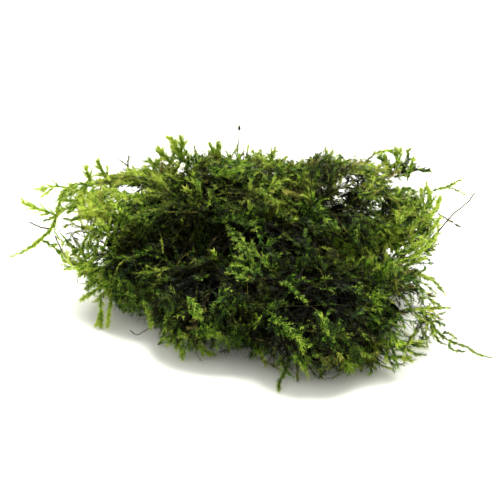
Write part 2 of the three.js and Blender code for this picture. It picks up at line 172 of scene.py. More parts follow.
# Openings through the tangle and bays in its outline. They all slant down towards the back. Each is
# the pixel of the photo that shows its middle, then its depth, radius and half length in mm.
OPENINGS = [
    # through the upper right
    (320, 190, 12, 1.2, 14), (342, 183, 12, 1.4, 14), (338, 201, 11, 2.1, 22), (355, 180, 12, 1.2, 12),
    (377, 211, 8, 2.1, 16), (370, 206, 9, 1.4, 14), (393, 183, 12, 1.4, 12), (404, 184, 12, 1.7, 12),
    (417, 185, 12, 1.7, 12),
    # bays over the upper left
    (106, 163, 11, 2.1, 9), (120, 164, 12, 2.4, 9), (135, 160, 13, 2.1, 9), (148, 156, 14, 1.9, 9),
    # under the front edge at the right
    (352, 384, -32, 2.6, 10), (366, 382, -31, 2.6, 10), (380, 379, -30, 2.6, 10),
    (393, 376, -29, 2.4, 10),
    # bays in the top edge
    (204, 140, 16, 1.9, 9), (229, 144, 16, 1.9, 9), (251, 146, 16, 2.1, 9), (264, 148, 16, 1.2, 9),
    (284, 151, 15, 2.1, 9), (298, 156, 15, 1.9, 9), (312, 150, 14, 1.7, 9), (346, 153, 14, 1.7, 9),
    # through the upper left
    (132, 190, 10, 1.3, 16), (121, 188, 10, 1.3, 16), (144, 190, 10, 1.2, 16), (112, 197, 8, 1.2, 14),
    # beside the right end
    (442, 245, 2, 1.9, 14), (439, 257, 0, 2.4, 14), (438, 270, 0, 1.7, 10),
    # through the left fringe
    (73, 206, 6, 1.9, 10), (77, 222, 5, 1.9, 12), (91, 242, 2, 1.9, 12), (82, 236, 3, 1.9, 12),
    (68, 236, 3, 1.9, 12), (96, 222, 4, 1.4, 12), (88, 254, 0, 1.7, 10), (76, 246, 1, 1.7, 10),
    # through the lower right end
    (396, 302, -17, 1.9, 14), (388, 303, -17, 1.2, 12), (397, 330, -21, 1.9, 12),
    (420, 284, -14, 1.4, 12), (408, 316, -18, 1.7, 12), (412, 298, -15, 1.7, 12),
]
OPENING_WAY = np.array([0.0, 0.9, -0.44])

# Shoots that stand clear of the tangle: tone, dryness, size, length of the side branches in mm, then
# the points in mm from root to tip of each route. They follow the solids of the same names.
LEAFY_SHOOTS = {
    "left_arching_shoot": (0.88, 0.12, 1.2, 1.4, [
        [(-36.6, 8, 26.6), (-39.6, 8, 27.1), (-41.8, 7, 26.6), (-43.7, 6, 24.2), (-44.8, 5, 20.8),
            (-45.7, 3.5, 18.3), (-47.5, 2.5, 16.4), (-51.5, 1.5, 13.4), (-55.6, 1, 11.7)]]),
    "left_upper_frond": (0.94, 0.1, 1.3, 3.2, [
        [(-42.6, 7.4, 26.5), (-44.4, 7.6, 26.7), (-46.3, 8, 26.3), (-48.1, 8.5, 25.6),
            (-49.8, 9, 25.4)]]),
    "left_middle_frond": (0.94, 0.1, 1.3, 3.4, [
        [(-44.7, 5, 20.3), (-46.3, 5, 21.1), (-48.1, 5.3, 21.6), (-50.2, 5.6, 22.2),
            (-52.7, 6, 23.4)]]),
    "left_inner_frond": (0.88, 0.1, 1.2, 1.5, [
        [(-43.4, 4.8, 19.9), (-41.6, 4.5, 19.4), (-38.2, 5, 19.8)]]),
    "left_lower_frond": (0.86, 0.1, 1.25, 1.8, [
        [(-48.8, 3.4, 15.2), (-47.2, 3.6, 14.2), (-45, 3.2, 12.6), (-42.5, 2, 11.2),
            (-39.6, 0.5, 9.4), (-35.5, -1.5, 7.4)]]),
    "lower_left_frond": (0.92, 0.1, 1.25, 1.3, [
        [(-34.5, -6, 7.3), (-35.9, -6.8, 6.4), (-37.2, -7.4, 5.9), (-38.5, -8, 5.2)]]),
    "hanging_frond_left": (0.9, 0.1, 1.25, 1, [
        [(-33.9, -8.4, 7), (-33.8, -10, 5.3), (-33.8, -11, 3.7), (-34.2, -11.6, 2), (-34.9, -12, 0.7)],
        [(-33.7, -11, 4), (-33.8, -11.8, 2.1), (-33.8, -12.2, 0.6)]]),
    "hanging_frond_middle": (0.9, 0.1, 1.25, 1, [
        [(-31.2, -10, 7.8), (-31.4, -11.4, 6), (-31.8, -12.8, 4), (-32.2, -13.8, 1.4)]]),
    "hanging_frond_right": (0.88, 0.1, 1.15, 1.2, [
        [(-23.4, -17.4, 10.2), (-22.4, -18.8, 8.4), (-21.9, -20, 6.6), (-21.8, -21, 5)]]),
    "right_fine_frond": (0.84, 0.15, 0.95, 1.3, [
        [(41, 9.5, 23.9), (44.3, 9.5, 25.3), (46.2, 9.5, 25.9), (49.1, 10.5, 27.2)],
        [(45.6, 9.5, 25.7), (48.1, 9, 25.1), (50.2, 8.5, 24)]]),
    "right_brown_frond": (0.45, 0.6, 1.15, 0.6, [
        [(43.6, 6.5, 20.4), (46.7, 5.5, 18.6), (49, 5, 17.5)]]),
    "right_upper_frond": (0.86, 0.1, 1.1, 1, [
        [(40, 5.5, 21.4), (41.4, 6.5, 24), (40.9, 7, 26.9)]]),
    "trailing_shoot": (0.66, 0.25, 1.05, 0.9, [
        [(37.1, -21, 9.4), (38.2, -21.8, 8.4), (39.2, -22.6, 7.6), (40.6, -24, 6.1),
            (41.9, -24.8, 5.1), (43.4, -25.4, 4.4), (45.1, -26, 4), (46.8, -26.4, 3.5),
            (48.1, -27, 2.8), (49.8, -27.3, 2), (52.4, -27.5, 1.4)],
        [(39.4, -22.8, 7.2), (39.6, -24, 6.1), (40.3, -25.4, 5.4), (41.3, -26.4, 4.5),
            (42.8, -26.6, 4.1)],
        [(41.5, -24.6, 5.5), (42.8, -24, 5.7), (44.1, -24.4, 5.1), (45.2, -25, 4.4)],
        [(43.2, -25.4, 4.2), (43.3, -26.8, 3.5), (44.3, -27.4, 3.1), (46.6, -27.8, 3.1)]]),
    "right_low_frond_front": (0.76, 0.15, 1.1, 1, [
        [(37.5, -15, 9.5), (39.5, -15.3, 9.6), (40.9, -15.6, 8.5), (42.4, -15.8, 7.9)]]),
    "right_low_frond_middle": (0.76, 0.15, 0.95, 0.7, [
        [(34.9, -14, 6.1), (37.3, -14.6, 6.5), (39.7, -15, 6.9), (42.3, -15.4, 7.1),
            (44.7, -15.6, 7.3)]]),
    "right_low_frond_back": (0.74, 0.15, 1.1, 1.2, [
        [(36.7, -9, 13.1), (38.9, -9.4, 11.8), (40.9, -9.8, 11.3), (42.3, -10, 10.1),
            (43.3, -10.2, 8.7), (44, -10.5, 7.8)]]),
    "right_ground_frond_back": (0.7, 0.15, 1.1, 1.3, [
        [(31.5, -23, 2.7), (33.5, -23.4, 2.6), (35.6, -23.6, 2.8), (37.8, -23.8, 3)]]),
    "right_ground_frond_middle": (0.84, 0.12, 1.1, 1.3, [
        [(31, -24.8, 1.8), (32.9, -25, 1.9), (34.9, -25.2, 1.8), (36.6, -25.6, 1)]]),
    "right_ground_frond_front": (0.84, 0.12, 1.1, 1.3, [
        [(29.9, -27, 1.1), (31.6, -27.2, 1.5), (33.4, -27.4, 1.3), (35.1, -27.8, 0.8)]]),
    "front_trailing_frond": (0.66, 0.2, 1, 1, [
        [(8.3, -31.6, 4.8), (8.1, -32.8, 3.5), (7.6, -34.4, 2.4), (6.5, -36.4, 1.5), (6, -38.2, 0.8),
            (6, -39.6, 0.5)]]),
    "front_frond_left": (0.72, 0.1, 1.1, 1.4, [
        [(9.3, -32, 5.5), (10.2, -33, 4.1), (11.7, -34.2, 3.1)]]),
    "front_frond_right": (0.55, 0.15, 0.9, 1, [
        [(14.9, -32.4, 3.3), (15, -33.8, 2.1), (15, -35.6, 1.3)]]),
    "front_left_frond_back": (0.9, 0.1, 1.2, 1.5, [
        [(-17, -22.6, 5.3), (-15.9, -24, 3.6), (-15, -25.4, 2.2), (-14.7, -27, 0.9)]]),
    "front_left_frond_front": (0.8, 0.15, 1.2, 1.4, [
        [(-13.1, -24, 4.6), (-11.3, -25, 2.9), (-9.6, -25.6, 1.8), (-7.6, -26, 1.3)]]),
    "top_left_frond_outer": (0.9, 0.1, 1.3, 2, [
        [(-37.2, 11.4, 25.6), (-37.7, 11.4, 28), (-38.4, 11.4, 30.2)]]),
    "top_left_frond_inner": (0.9, 0.1, 1.35, 2.4, [
        [(-33, 12, 26.4), (-34.6, 12, 28.8), (-35.6, 12, 31.2)]]),
    "top_frond_first": (0.92, 0.1, 1.25, 1.9, [
        [(-19.3, 15, 29.7), (-20.2, 15.4, 31.1), (-20.9, 15.8, 32.2), (-21.6, 16, 33.1)]]),
    "top_frond_second": (0.92, 0.1, 1.25, 1.8, [
        [(-15.7, 15, 30.2), (-16.7, 15.6, 32.2), (-17.6, 16, 33.9), (-18.5, 16, 35.4)],
        [(-16.2, 15.6, 32), (-15.9, 16, 33.9), (-16.4, 16, 35.9)]]),
    "top_frond_third": (0.86, 0.15, 1.1, 1.4, [
        [(-8, 15, 28.4), (-8.6, 16, 31.6), (-9.7, 16, 34.3)],
        [(-8.4, 15.6, 30.6), (-7.4, 16, 32.6), (-7.5, 16, 34.6)]]),
    "top_frond_fourth": (0.86, 0.15, 1.1, 1.3, [
        [(4.2, 15, 28.4), (5, 15.4, 30.6), (6, 16, 32.8)]]),
    "top_arch_frond": (0.74, 0.3, 1, 1.1, [
        [(26.8, 15, 28.9), (28.5, 15.6, 30.7), (30.3, 16, 31.8), (32.4, 16, 32.1),
            (34.5, 15.6, 32.6)]]),
    "top_frond_fifth": (0.8, 0.1, 1, 1.6, [
        [(33.8, 11.4, 28.2), (34.5, 11.6, 30.8), (34.9, 12, 34)]]),
    "top_frond_sixth": (0.76, 0.1, 1, 1.3, [
        [(36.8, 11.4, 26.4), (37.4, 11.4, 29.4), (38, 11.4, 32.6)]]),
    "top_dark_frond": (0.38, 0.35, 1.1, 2, [
        [(35.4, 16, 26), (38.6, 16.6, 27.2), (42.4, 16, 27.3)]]),
}

# Fronds that are told apart in the tangle, by the tuft that they grow from: tone, dryness, size,
# length of the side branches in mm, height over the tufts in mm, then the pixels of the photo that
# the stem passes, from root to tip. A point with a third number doesn't lie on the tufts but at
# that depth in mm.
# The tones of the fronds on the front tufts and the middle tuft are set lower: a painted shade on the side
# that faces away from the key light.
FRONDS = {
    "front_tuft_left": [
        (0.7, 0.05, 0.95, 1.7, 2.6, [(188, 296), (191, 304), (196, 312), (202, 320)]),
        (0.66, 0.05, 1, 1.7, 2.4, [(158, 345), (166, 338), (176, 335), (188, 336)]),
        (0.72, 0.05, 1, 1.4, 2.2, [(178, 330), (182, 340), (184, 350), (182, 357)]),
        (0.54, 0.05, 0.9, 1.4, 2.4, [(163, 326), (169, 316), (173, 306)]),
        (0.42, 0.1, 0.9, 1.4, 2.2, [(140, 276), (147, 284), (156, 290), (163, 298)]),
        (0.38, 0.1, 0.9, 1.4, 2.2, [(118, 290), (128, 296), (139, 300)]),
        (0.72, 0.05, 0.9, 1.2, 3, [(186, 295), (192, 301), (198, 307), (202, 312)]),
        (0.62, 0.05, 0.8, 1.1, 2.8, [(186, 309), (192, 313), (197, 318)]),
        (0.52, 0.1, 0.8, 1.2, 2.4, [(152, 306, -19), (155, 314, -20), (156, 321, -21)]),
        (0.42, 0.15, 0.8, 1.2, 2.6, [(168, 318), (170, 308), (172, 300), (174, 294)]),
        (0.72, 0.1, 0.95, 1.3, 2.2, [(117, 268), (121, 280), (119, 292)]),
        (0.7, 0.1, 0.95, 1.3, 2.2, [(128, 279), (131, 291), (134, 303)]),
        (0.7, 0.1, 0.95, 1.3, 2.2, [(141, 286), (143, 299), (148, 311)]),
    ],
    "front_tuft_middle": [
        (0.56, 0.05, 1, 1.6, 2.6, [(199, 318), (204, 328), (211, 334), (218, 337)]),
        (0.64, 0.05, 1, 1.8, 2.4, [(194, 334), (203, 331), (212, 331), (221, 335)]),
        (0.46, 0.05, 0.9, 1.4, 2.4, [(228, 333), (234, 340), (241, 347)]),
        (0.48, 0.05, 0.95, 1.6, 2.4, [(262, 318), (268, 310), (277, 303), (287, 303)]),
        (0.56, 0.05, 0.95, 1.4, 2.4, [(270, 324), (278, 331), (289, 335), (298, 341), (302, 350)]),
        (0.62, 0.05, 0.95, 1.2, 2.2, [(294, 353), (298, 359), (304, 364)]),
        (0.71, 0.05, 0.9, 1.2, 3.2, [(278, 282), (286, 284), (293, 289), (299, 296), (306, 301)]),
        (0.71, 0.05, 1, 1.6, 3, [(268, 320), (278, 321), (287, 326), (295, 334), (301, 343),
            (303, 353)]),
        (0.61, 0.1, 0.9, 1.2, 3, [(288, 346), (295, 354), (300, 361), (306, 367)]),
        (0.41, 0.1, 0.9, 1.3, 2.6, [(268, 334), (271, 325), (274, 315), (278, 306), (285, 302)]),
        (0.5, 0.9, 0.35, 0, 3.2, [(247, 341), (252, 338), (261, 340), (271, 343)]),
        (0.56, 0.1, 0.9, 1.3, 2.6, [(216, 336), (224, 341), (232, 344), (240, 347)]),
        (0.61, 0.1, 1, 1.3, 2.8, [(190, 332), (199, 333), (208, 334), (216, 337)]),
        (0.45, 0.95, 0.3, 0, 2.4, [(195, 350, -26), (198, 357, -27), (203, 363, -28)]),
        (0.45, 0.95, 0.25, 0, 2.4, [(199, 361, -27.4), (204, 358, -27), (210, 359, -27)]),
        (0.71, 0.1, 0.9, 1.6, 2.2, [(176, 322, -22), (168, 330, -23.4), (163, 337, -24.4),
            (160, 342, -25)]),
        (0.74, 0.1, 0.9, 1.4, 2.2, [(184, 328, -23), (176, 335, -24.4), (170, 342, -25.4),
            (166, 346, -26)]),
    ],
    "front_tuft_right": [
        (0.46, 0.05, 0.9, 1.6, 2.4, [(315, 312), (322, 320), (330, 328), (341, 336), (348, 343)]),
        (0.4, 0.05, 0.9, 1.4, 2.4, [(326, 325), (328, 338), (334, 350)]),
        (0.38, 0.05, 0.9, 1.4, 2.4, [(348, 320), (356, 315), (364, 309)]),
        (0.75, 0.05, 0.81, 0.9, 3.4, [(338, 344), (330, 337), (325, 327), (322, 317), (318, 312),
            (314, 314)]),
        (0.5, 0.1, 0.85, 1.3, 3, [(346, 326), (338, 326), (330, 324), (326, 318), (330, 311)]),
        (0.4, 0.1, 0.85, 1.2, 2.8, [(336, 314), (341, 322), (343, 331), (349, 338)]),
        (0.42, 0.25, 0.76, 1.1, 2.2, [(338, 364, -33), (331, 367, -33.4), (324, 371, -34.2),
            (319, 378, -35.8)]),
        (0.85, 0.8, 0.25, 0, 3.4, [(354, 343), (358, 347), (361, 352), (361, 358)]),
    ],
    "upper_mat_left": [
        (0.88, 0.1, 1.3, 2.2, 1, [(80, 205, 5), (72, 208, 5), (64, 209, 5), (57, 212, 5)]),
        (0.84, 0.1, 1.2, 2, 1, [(84, 196, 6), (76, 204, 6), (68, 213, 5.4)]),
        (0.86, 0.1, 1.2, 2, 1, [(78, 186, 7), (70, 190, 7), (61, 193, 7)]),
        (0.75, 0.1, 1.2, 1.2, 1, [(152, 172, 14), (156, 165, 14.6), (162, 158, 15)]),
        (0.8, 0.1, 1.2, 1.2, 1, [(158, 168, 14), (152, 162, 14.4), (148, 158, 14.6)]),
        (0.78, 0.1, 1.2, 1.6, 1, [(84, 199.5, 6), (77, 200.5, 6), (69, 201, 6), (61, 200.5, 5.6)]),
        (0.85, 0.15, 1.2, 2, 1, [(90, 186, 8), (82, 188.5, 7.6), (74, 192, 7.2), (66, 196.5, 6.8)]),
        (0.9, 0.2, 1.3, 1.2, 1, [(86, 184, 6), (85, 190, 5.6), (83, 195, 5.4), (81, 200, 5)]),
        (0.8, 0.35, 1.1, 1.4, 1, [(112, 201, 5), (104, 204, 4.6), (95, 202, 4.6), (88, 198, 4.8)]),
        (0.45, 0.2, 1.1, 1, 1, [(152, 180, 12), (138, 181, 12), (124, 182, 11.6), (110, 183, 11),
            (96, 183.5, 10), (84, 184, 9)]),
        (0.62, 0.1, 1.1, 1.1, 1, [(142, 180, 13), (130, 178.5, 13), (119, 176.5, 12.6),
            (109, 175.5, 12)]),
        (0.85, 0.1, 1.1, 1.1, 1, [(158, 172, 14), (146, 172, 14), (134, 172.5, 13.6), (121, 174, 13)]),
        (0.75, 0.3, 0.96, 0.9, 1, [(168, 166, 15), (158, 163.5, 15), (150, 163, 15), (142, 161, 14.6)]),
        (0.85, 0.1, 0.96, 0.9, 1, [(162, 170, 15), (155, 166.5, 15), (148, 166.5, 15), (143, 170, 15)]),
        (0.9, 0.1, 1.2, 1.2, 1, [(146, 200, 6), (138, 196, 5.6), (130, 197, 5), (121, 193, 4.8),
            (114, 189, 5)]),
        (0.75, 0.15, 0.96, 0.8, 2.6, [(150, 214), (143, 215), (136, 216), (130, 218)]),
        (0.62, 0.1, 0.96, 1, 2.6, [(120, 228), (127, 222), (136, 220), (146, 221)]),
        (0.9, 0.1, 1.4, 1.8, 1, [(84, 186, 6), (81, 196, 5.6), (82, 206, 5), (86, 215, 4.6)]),
        (0.82, 0.1, 1.1, 1.5, 2.2, [(93, 188), (94, 198), (99, 207), (106, 213)]),
        (0.88, 0.15, 1.1, 1.5, 2.2, [(102, 188), (107, 197), (113, 204)]),
        (0.92, 0.15, 1.1, 1.5, 2.2, [(112, 187), (119, 194), (127, 200)]),
        (0.92, 0.15, 1.1, 1.5, 2.2, [(124, 190), (132, 197), (141, 203)]),
        (0.9, 0.1, 1.2, 1.4, 1, [(70, 190, 7.4), (63, 193, 7.4), (58, 199, 7)]),
        (0.85, 0.1, 1.3, 1.3, 1, [(172, 163, 14.6), (165, 157, 15), (160, 150, 15.4)]),
        (0.8, 0.1, 1.2, 1.2, 1, [(166, 162, 14.8), (160, 155, 15), (155, 150, 15)]),
    ],
    "upper_mat_middle": [
        (0.73, 0.1, 1.2, 1.4, 1, [(176, 169, 15), (181, 161, 15), (186, 153, 16)]),
        (0.65, 0.1, 1.2, 1.4, 1, [(184, 169, 15), (190, 161, 15.4), (196, 154, 16)]),
        (0.75, 0.1, 1.2, 1.4, 1, [(168, 167, 15), (172, 159, 15.4), (176, 151, 16)]),
        (0.63, 0.15, 1.1, 1.2, 1, [(190, 164, 15), (182, 160, 15), (176, 158, 15.4)]),
        (0.93, 0.15, 1.1, 1.3, 1, [(184, 160, 16), (180, 154, 16), (174, 150, 16), (170, 146, 16)]),
        (0.83, 0.1, 0.99, 0.9, 1, [(224, 162, 16), (230, 156, 16), (236, 151, 16), (238, 143, 16)]),
        (0.88, 0.1, 0.88, 1, 1, [(222, 162, 16), (220, 154, 16), (221, 147, 16), (220, 142, 16)]),
        (0.88, 0.1, 0.88, 1, 1, [(264, 164, 16), (261, 157, 16), (260, 149, 16)]),
        (0.93, 0.1, 0.99, 1.3, 1, [(270, 168, 16), (273, 160, 16), (272, 153, 16), (271, 147, 16)]),
        (0.88, 0.1, 0.99, 1.1, 1, [(276, 168, 16), (281, 162, 16), (288, 156, 16)]),
        (0.15, 0.9, 0.3, 0, 2.4, [(198, 161, 16), (203, 156, 16), (208, 152, 16)]),
        (0.45, 0.15, 1.1, 1.8, 2.6, [(204, 219), (216, 220), (228, 218), (240, 221), (254, 223)]),
        (0.48, 0.1, 1.1, 1.8, 2.6, [(232, 220), (243, 217), (253, 211), (264, 205)]),
        (0.83, 0.15, 0.77, 0.5, 3, [(251, 192), (251, 183), (255, 175), (262, 169), (271, 163)]),
        (0.58, 0.1, 1.2, 1.6, 2.6, [(204, 167), (215, 171), (228, 173), (240, 170), (251, 164)]),
        (0.93, 0.1, 1.4, 1.8, 1, [(182, 160, 16), (178, 151, 16), (173, 143, 16), (168, 137, 16)]),
        (0.88, 0.15, 1.2, 1.4, 1, [(184, 161, 15.6), (181, 151, 16), (183, 143, 16), (180, 136, 16)]),
        (0.95, 0.1, 1.3, 1.4, 1, [(182, 158, 15), (177, 152, 15.4), (171, 151, 15.6)]),
        (0.73, 0.1, 1.1, 1.2, 1, [(190, 163, 15), (187, 155, 15.6), (184, 148, 16)]),
        (0.88, 0.15, 1.1, 1.2, 1, [(217, 160, 16), (213, 151, 16), (210, 143, 16)]),
        (0.93, 0.1, 1.2, 1.2, 1, [(218, 160, 16), (218, 152, 16), (217, 143, 16)]),
        (0.88, 0.1, 1.1, 1, 1, [(262, 164, 16), (256, 157, 16), (252, 150, 16)]),
        (0.63, 0.05, 1.4, 1.2, 2.8, [(210, 166), (218, 172), (228, 173), (240, 170)]),
        (0.63, 0.05, 1.4, 1, 2.8, [(222, 162), (234, 163), (246, 163)]),
        (0.58, 0.05, 1.2, 1, 2.6, [(194, 172), (199, 180), (198, 188)]),
    ],
    "left_tuft": [
        (0.82, 0.1, 1.3, 1.3, 1, [(92, 266, -3), (86, 272, -3), (80, 275, -3)]),
        (0.8, 0.1, 1.3, 1.3, 1, [(98, 268, -4), (93, 278, -5), (88, 286, -5.4)]),
        (0.76, 0.1, 1.3, 1.3, 1, [(106, 272, -6), (102, 283, -7), (99, 292, -7.4)]),
        (0.82, 0.1, 1.2, 1.2, 1, [(90, 256, -2), (83, 262, -2), (77, 268, -2)]),
        (0.72, 0.1, 1.2, 1.6, 1, [(112, 214, 3), (102, 213, 2.8), (91, 214.5, 3), (81, 217, 3.4),
            (72, 219, 4)]),
        (0.64, 0.15, 1, 1.4, 1, [(104, 226, 1.5), (96, 224, 1.6), (90, 219, 2), (86, 213, 2.6)]),
        (0.52, 0.45, 0.65, 0.8, 1, [(92, 227, 3), (84, 227, 3.2), (76, 228, 3.4), (70, 226, 3.6),
            (66, 226.5, 3.8), (62, 230, 4), (57, 231, 4.4)]),
        (0.62, 0.35, 0.78, 0.9, 1, [(94, 234, 2), (86, 232.5, 2.2), (78, 231, 2.6), (73, 234, 2.8),
            (69, 239.5, 3), (66, 245, 3)]),
        (0.7, 0.15, 0.91, 1, 1, [(86, 257, 1), (79, 250, 1.6), (72, 245.5, 2.2), (66, 240, 3),
            (60, 232.5, 3.6)]),
        (0.68, 0.15, 0.91, 1.1, 1, [(98, 245, 0), (90, 247, 0.4), (83, 251, 0.6), (77, 250, 1),
            (70, 252, 1.6)]),
        (0.66, 0.2, 0.85, 1, 1, [(90, 268, -1), (85, 259, -0.6), (82, 250, 0), (84, 242, 0.6),
            (87, 236, 1.2)]),
        (0.64, 0.2, 0.78, 0.9, 1, [(94, 262, -1.5), (87, 263, -1), (80, 260, -0.4), (74, 254, 0.4)]),
        (0.72, 0.1, 1, 1.2, 1, [(100, 256, -2), (94, 252, -1.6), (90, 245, -1), (92, 238, -0.4)]),
        (0.84, 0.1, 1.3, 1.3, 1, [(59, 215, 5), (50, 219, 5), (43, 221, 5)]),
        (0.62, 0.3, 0.72, 0.9, 1, [(65, 234.5, 3.4), (74, 232, 3.4), (84, 237, 3), (91, 244, 2.4)]),
        (0.87, 0.1, 1.1, 1.3, 1, [(66, 241, 3), (74, 251, 2.4), (82, 264, 1.4)]),
        (0.82, 0.1, 0.98, 1.2, 1, [(72, 236, 3), (79, 246, 2.4), (85, 257, 1.6)]),
        (0.77, 0.15, 0.98, 1.1, 1, [(89, 231, -1), (84, 243, -1), (80, 254, -1), (77, 263, -1)]),
        (0.74, 0.15, 0.98, 1.1, 2.2, [(97, 226), (91, 237), (88, 248), (89, 259)]),
        (0.7, 0.15, 0.98, 1.1, 2.2, [(105, 222), (100, 234), (97, 246), (94, 258)]),
        (0.87, 0.1, 1.1, 1.3, 1, [(78, 203, 4.6), (84, 209, 3), (91, 214, 1.4), (99, 220, 0)]),
        (0.72, 0.2, 0.78, 1, 1, [(62, 226.5, 4), (70, 224, 3.6), (78, 226, 3), (86, 231, 2.4),
            (92, 238, 1.8)]),
        (0.72, 0.2, 0.78, 1, 1, [(64, 241, 3.4), (72, 240, 3), (80, 243, 2.4), (88, 248, 1.6)]),
        (0.82, 0.1, 0.91, 1.2, 1, [(70, 256, 2), (77, 252, 2), (85, 247, 1.6), (92, 241, 1.2)]),
        (0.77, 0.1, 0.91, 1.2, 1, [(75, 268, 0.5), (82, 260, 0.6), (90, 253, 0.6), (98, 247, 0)]),
        (0.72, 0.15, 0.91, 1.1, 2, [(100, 214), (95, 222), (92, 231), (95, 240)]),
        (0.72, 0.15, 0.91, 1.1, 2, [(110, 216), (106, 226), (108, 236), (104, 247)]),
        (0.62, 0.3, 0.59, 0.6, 1, [(68, 233, 3.6), (76, 238, 3), (84, 240, 2.6), (93, 236, 2),
            (101, 232, -3)]),
        (0.67, 0.3, 0.59, 0.6, 1, [(73, 247, 2.6), (82, 236, 2.6), (90, 227, 2.4), (99, 222, -1)]),
        (0.77, 0.1, 1, 1.2, 1, [(88, 262, -0.4), (83, 270, -1), (88, 276, -1.6)]),
        (0.7, 0.1, 1.3, 1.3, 2, [(92, 262), (92, 271), (90, 281)]),
        (0.67, 0.1, 1.3, 1.3, 2, [(103, 266), (105, 279), (108, 291)]),
        (0.74, 0.1, 1.3, 1.3, 2, [(102, 277), (94, 283), (86, 289)]),
    ],
    "upper_mat_right": [
        (0.82, 0.15, 0.96, 0.9, 1, [(290, 170, 14), (297, 165, 14), (304, 159, 14)]),
        (0.34, 0.25, 1.2, 0.9, 1, [(303, 174, 14), (309, 165, 14), (315, 158, 14), (321, 153, 14)]),
        (0.94, 0.2, 1.1, 1.2, 1, [(322, 164, 14), (326, 156, 14), (325, 147, 14)]),
        (0.9, 0.15, 0.96, 1, 1, [(328, 162, 14), (331, 156, 14), (333, 149, 14)]),
        (0.82, 0.15, 0.84, 0.8, 1, [(352, 166, 14), (356, 159, 14), (355, 152, 14)]),
        (0.87, 0.1, 1.2, 1.6, 1, [(374, 172, 14), (385, 162, 14), (384, 156, 14), (380, 152, 14)]),
        (0.92, 0.1, 1.1, 1.5, 1, [(396, 170, 15), (398, 160, 15), (398, 152, 15), (396, 146, 15)]),
        (0.42, 0.35, 0.6, 0.4, 1, [(388, 182, 13), (396, 178, 13), (401, 181, 13), (408, 183, 13)]),
        (0.5, 0.9, 0.25, 0, 2.4, [(354, 162, 14), (353, 154, 14), (350, 145, 14)]),
        (0.64, 0.1, 1.1, 1.3, 2.6, [(312, 206), (320, 213), (328, 221), (337, 228)]),
        (0.3, 0.2, 0.96, 1.4, 1, [(392, 176, 15), (394, 169, 15.2), (397, 162, 15.4)]),
        (0.27, 0.2, 0.96, 1.4, 1, [(398, 176, 15.2), (400, 169, 15.4), (402, 162, 15.6)]),
        (0.34, 0.2, 0.96, 1.3, 1, [(404, 174, 15.4), (404, 168, 15.6), (408, 162, 15.8)]),
        (0.44, 0.2, 0.96, 1.2, 1, [(410, 172, 15.6), (413, 167, 15.8), (417, 163, 16)]),
        (0.4, 0.15, 0.96, 1.3, 1, [(388, 172, 15), (394, 166, 15.2), (400, 163, 15.4)]),
        (0.24, 0.5, 0.96, 1.3, 1, [(392, 174, 15.2), (400, 172, 15.4), (408, 172, 15.6)]),
        (0.32, 0.6, 0.96, 1.1, 1, [(400, 171, 15.4), (409, 171, 15.6), (418, 170, 15.8)]),
        (0.3, 0.3, 0.96, 1.3, 1, [(398, 168, 15.4), (406, 167, 15.6), (414, 167, 15.8)]),
        (0.37, 0.2, 0.96, 1.2, 1, [(390, 168, 15), (396, 164, 15.2), (398, 158, 15.4)]),
        (0.34, 0.5, 0.84, 1, 1, [(402, 176, 15.4), (408, 174, 15.6), (413, 171, 15.8)]),
        (0.88, 0.1, 0.96, 1.2, 1, [(397, 158, 15), (394, 153, 15), (389, 151, 15)]),
        (0.88, 0.1, 0.96, 1.2, 1, [(398, 157, 15), (397, 151, 15), (393, 147, 15)]),
        (0.88, 0.1, 0.96, 1, 1, [(399, 158, 15), (402, 152, 15), (401, 147, 15)]),
        (0.82, 0.1, 0.96, 1.3, 1, [(404, 163, 15.6), (407, 157, 15.8), (407, 151, 16), (411, 148, 16)]),
        (0.62, 0.1, 1.1, 1, 1, [(394, 177, 14.6), (400, 176, 14.8), (408, 176, 15)]),
        (0.92, 0.1, 1.2, 1.2, 1, [(416, 169, 16), (424, 171, 16), (432, 171, 16)]),
        (0.52, 0.15, 0.96, 1, 1, [(399, 167, 15.4), (406, 163, 15.6), (409, 157, 15.8),
            (408, 152, 16), (411, 149, 16)]),
        (0.72, 0.1, 0.96, 0.8, 1, [(407, 160, 15.6), (411, 159.5, 15.8), (415, 160, 15.8)]),
        (0.72, 0.1, 1.4, 1.8, 1, [(393, 176, 14.4), (388, 168, 14.6), (383, 160, 14.8),
            (377, 154, 15)]),
        (0.62, 0.1, 1.4, 1.8, 1, [(386, 178, 13.4), (389, 170, 14), (387, 162, 14.4),
            (384, 155, 14.6)]),
        (0.92, 0.1, 1.2, 1, 1, [(397, 156, 15), (392, 151, 15), (386, 151, 15)]),
    ],
    "right_tuft": [
        (0.6, 0.1, 1.3, 1.2, 1, [(392, 208, 4), (397, 198, 5), (402, 191, 6), (409, 189, 7),
            (416, 192, 8)]),
        (0.85, 0.1, 1.1, 0.9, 1, [(418, 210, 6), (422, 200, 6), (425, 191, 6.4), (427, 182, 7)]),
        (0.82, 0.1, 1.3, 1, 1, [(396, 244, -4), (408, 232, -2), (419, 218, 1), (428, 206, 4),
            (436, 196, 6)]),
        (0.88, 0.12, 1.3, 1, 1, [(404, 248, -5), (416, 235, -3), (427, 221, 0), (436, 208, 3),
            (441, 197, 5)]),
        (0.85, 0.15, 1.3, 0.9, 1, [(408, 254, -6), (421, 241, -4), (432, 229, -1), (440, 217, 2)]),
        (0.8, 0.1, 1.2, 0.9, 1, [(384, 236, -3), (397, 225, -1), (408, 213, 2), (417, 201, 5)]),
        (0.85, 0.15, 1.1, 0.8, 1, [(412, 262, -8), (423, 251, -6), (434, 238, -4), (440, 233, -3)]),
        (0.82, 0.1, 1.1, 1, 1, [(398, 266, -9), (409, 259, -8.4), (420, 251, -7.6), (430, 246, -7)]),
        (0.82, 0.1, 1.1, 1, 1, [(396, 272, -10), (408, 266, -9.6), (418, 261, -9.2), (426, 258, -9)]),
        (0.85, 0.1, 1.3, 1.2, 1, [(404, 262, -9.6), (414, 256, -9), (424, 249, -8.4), (430, 245, -8)]),
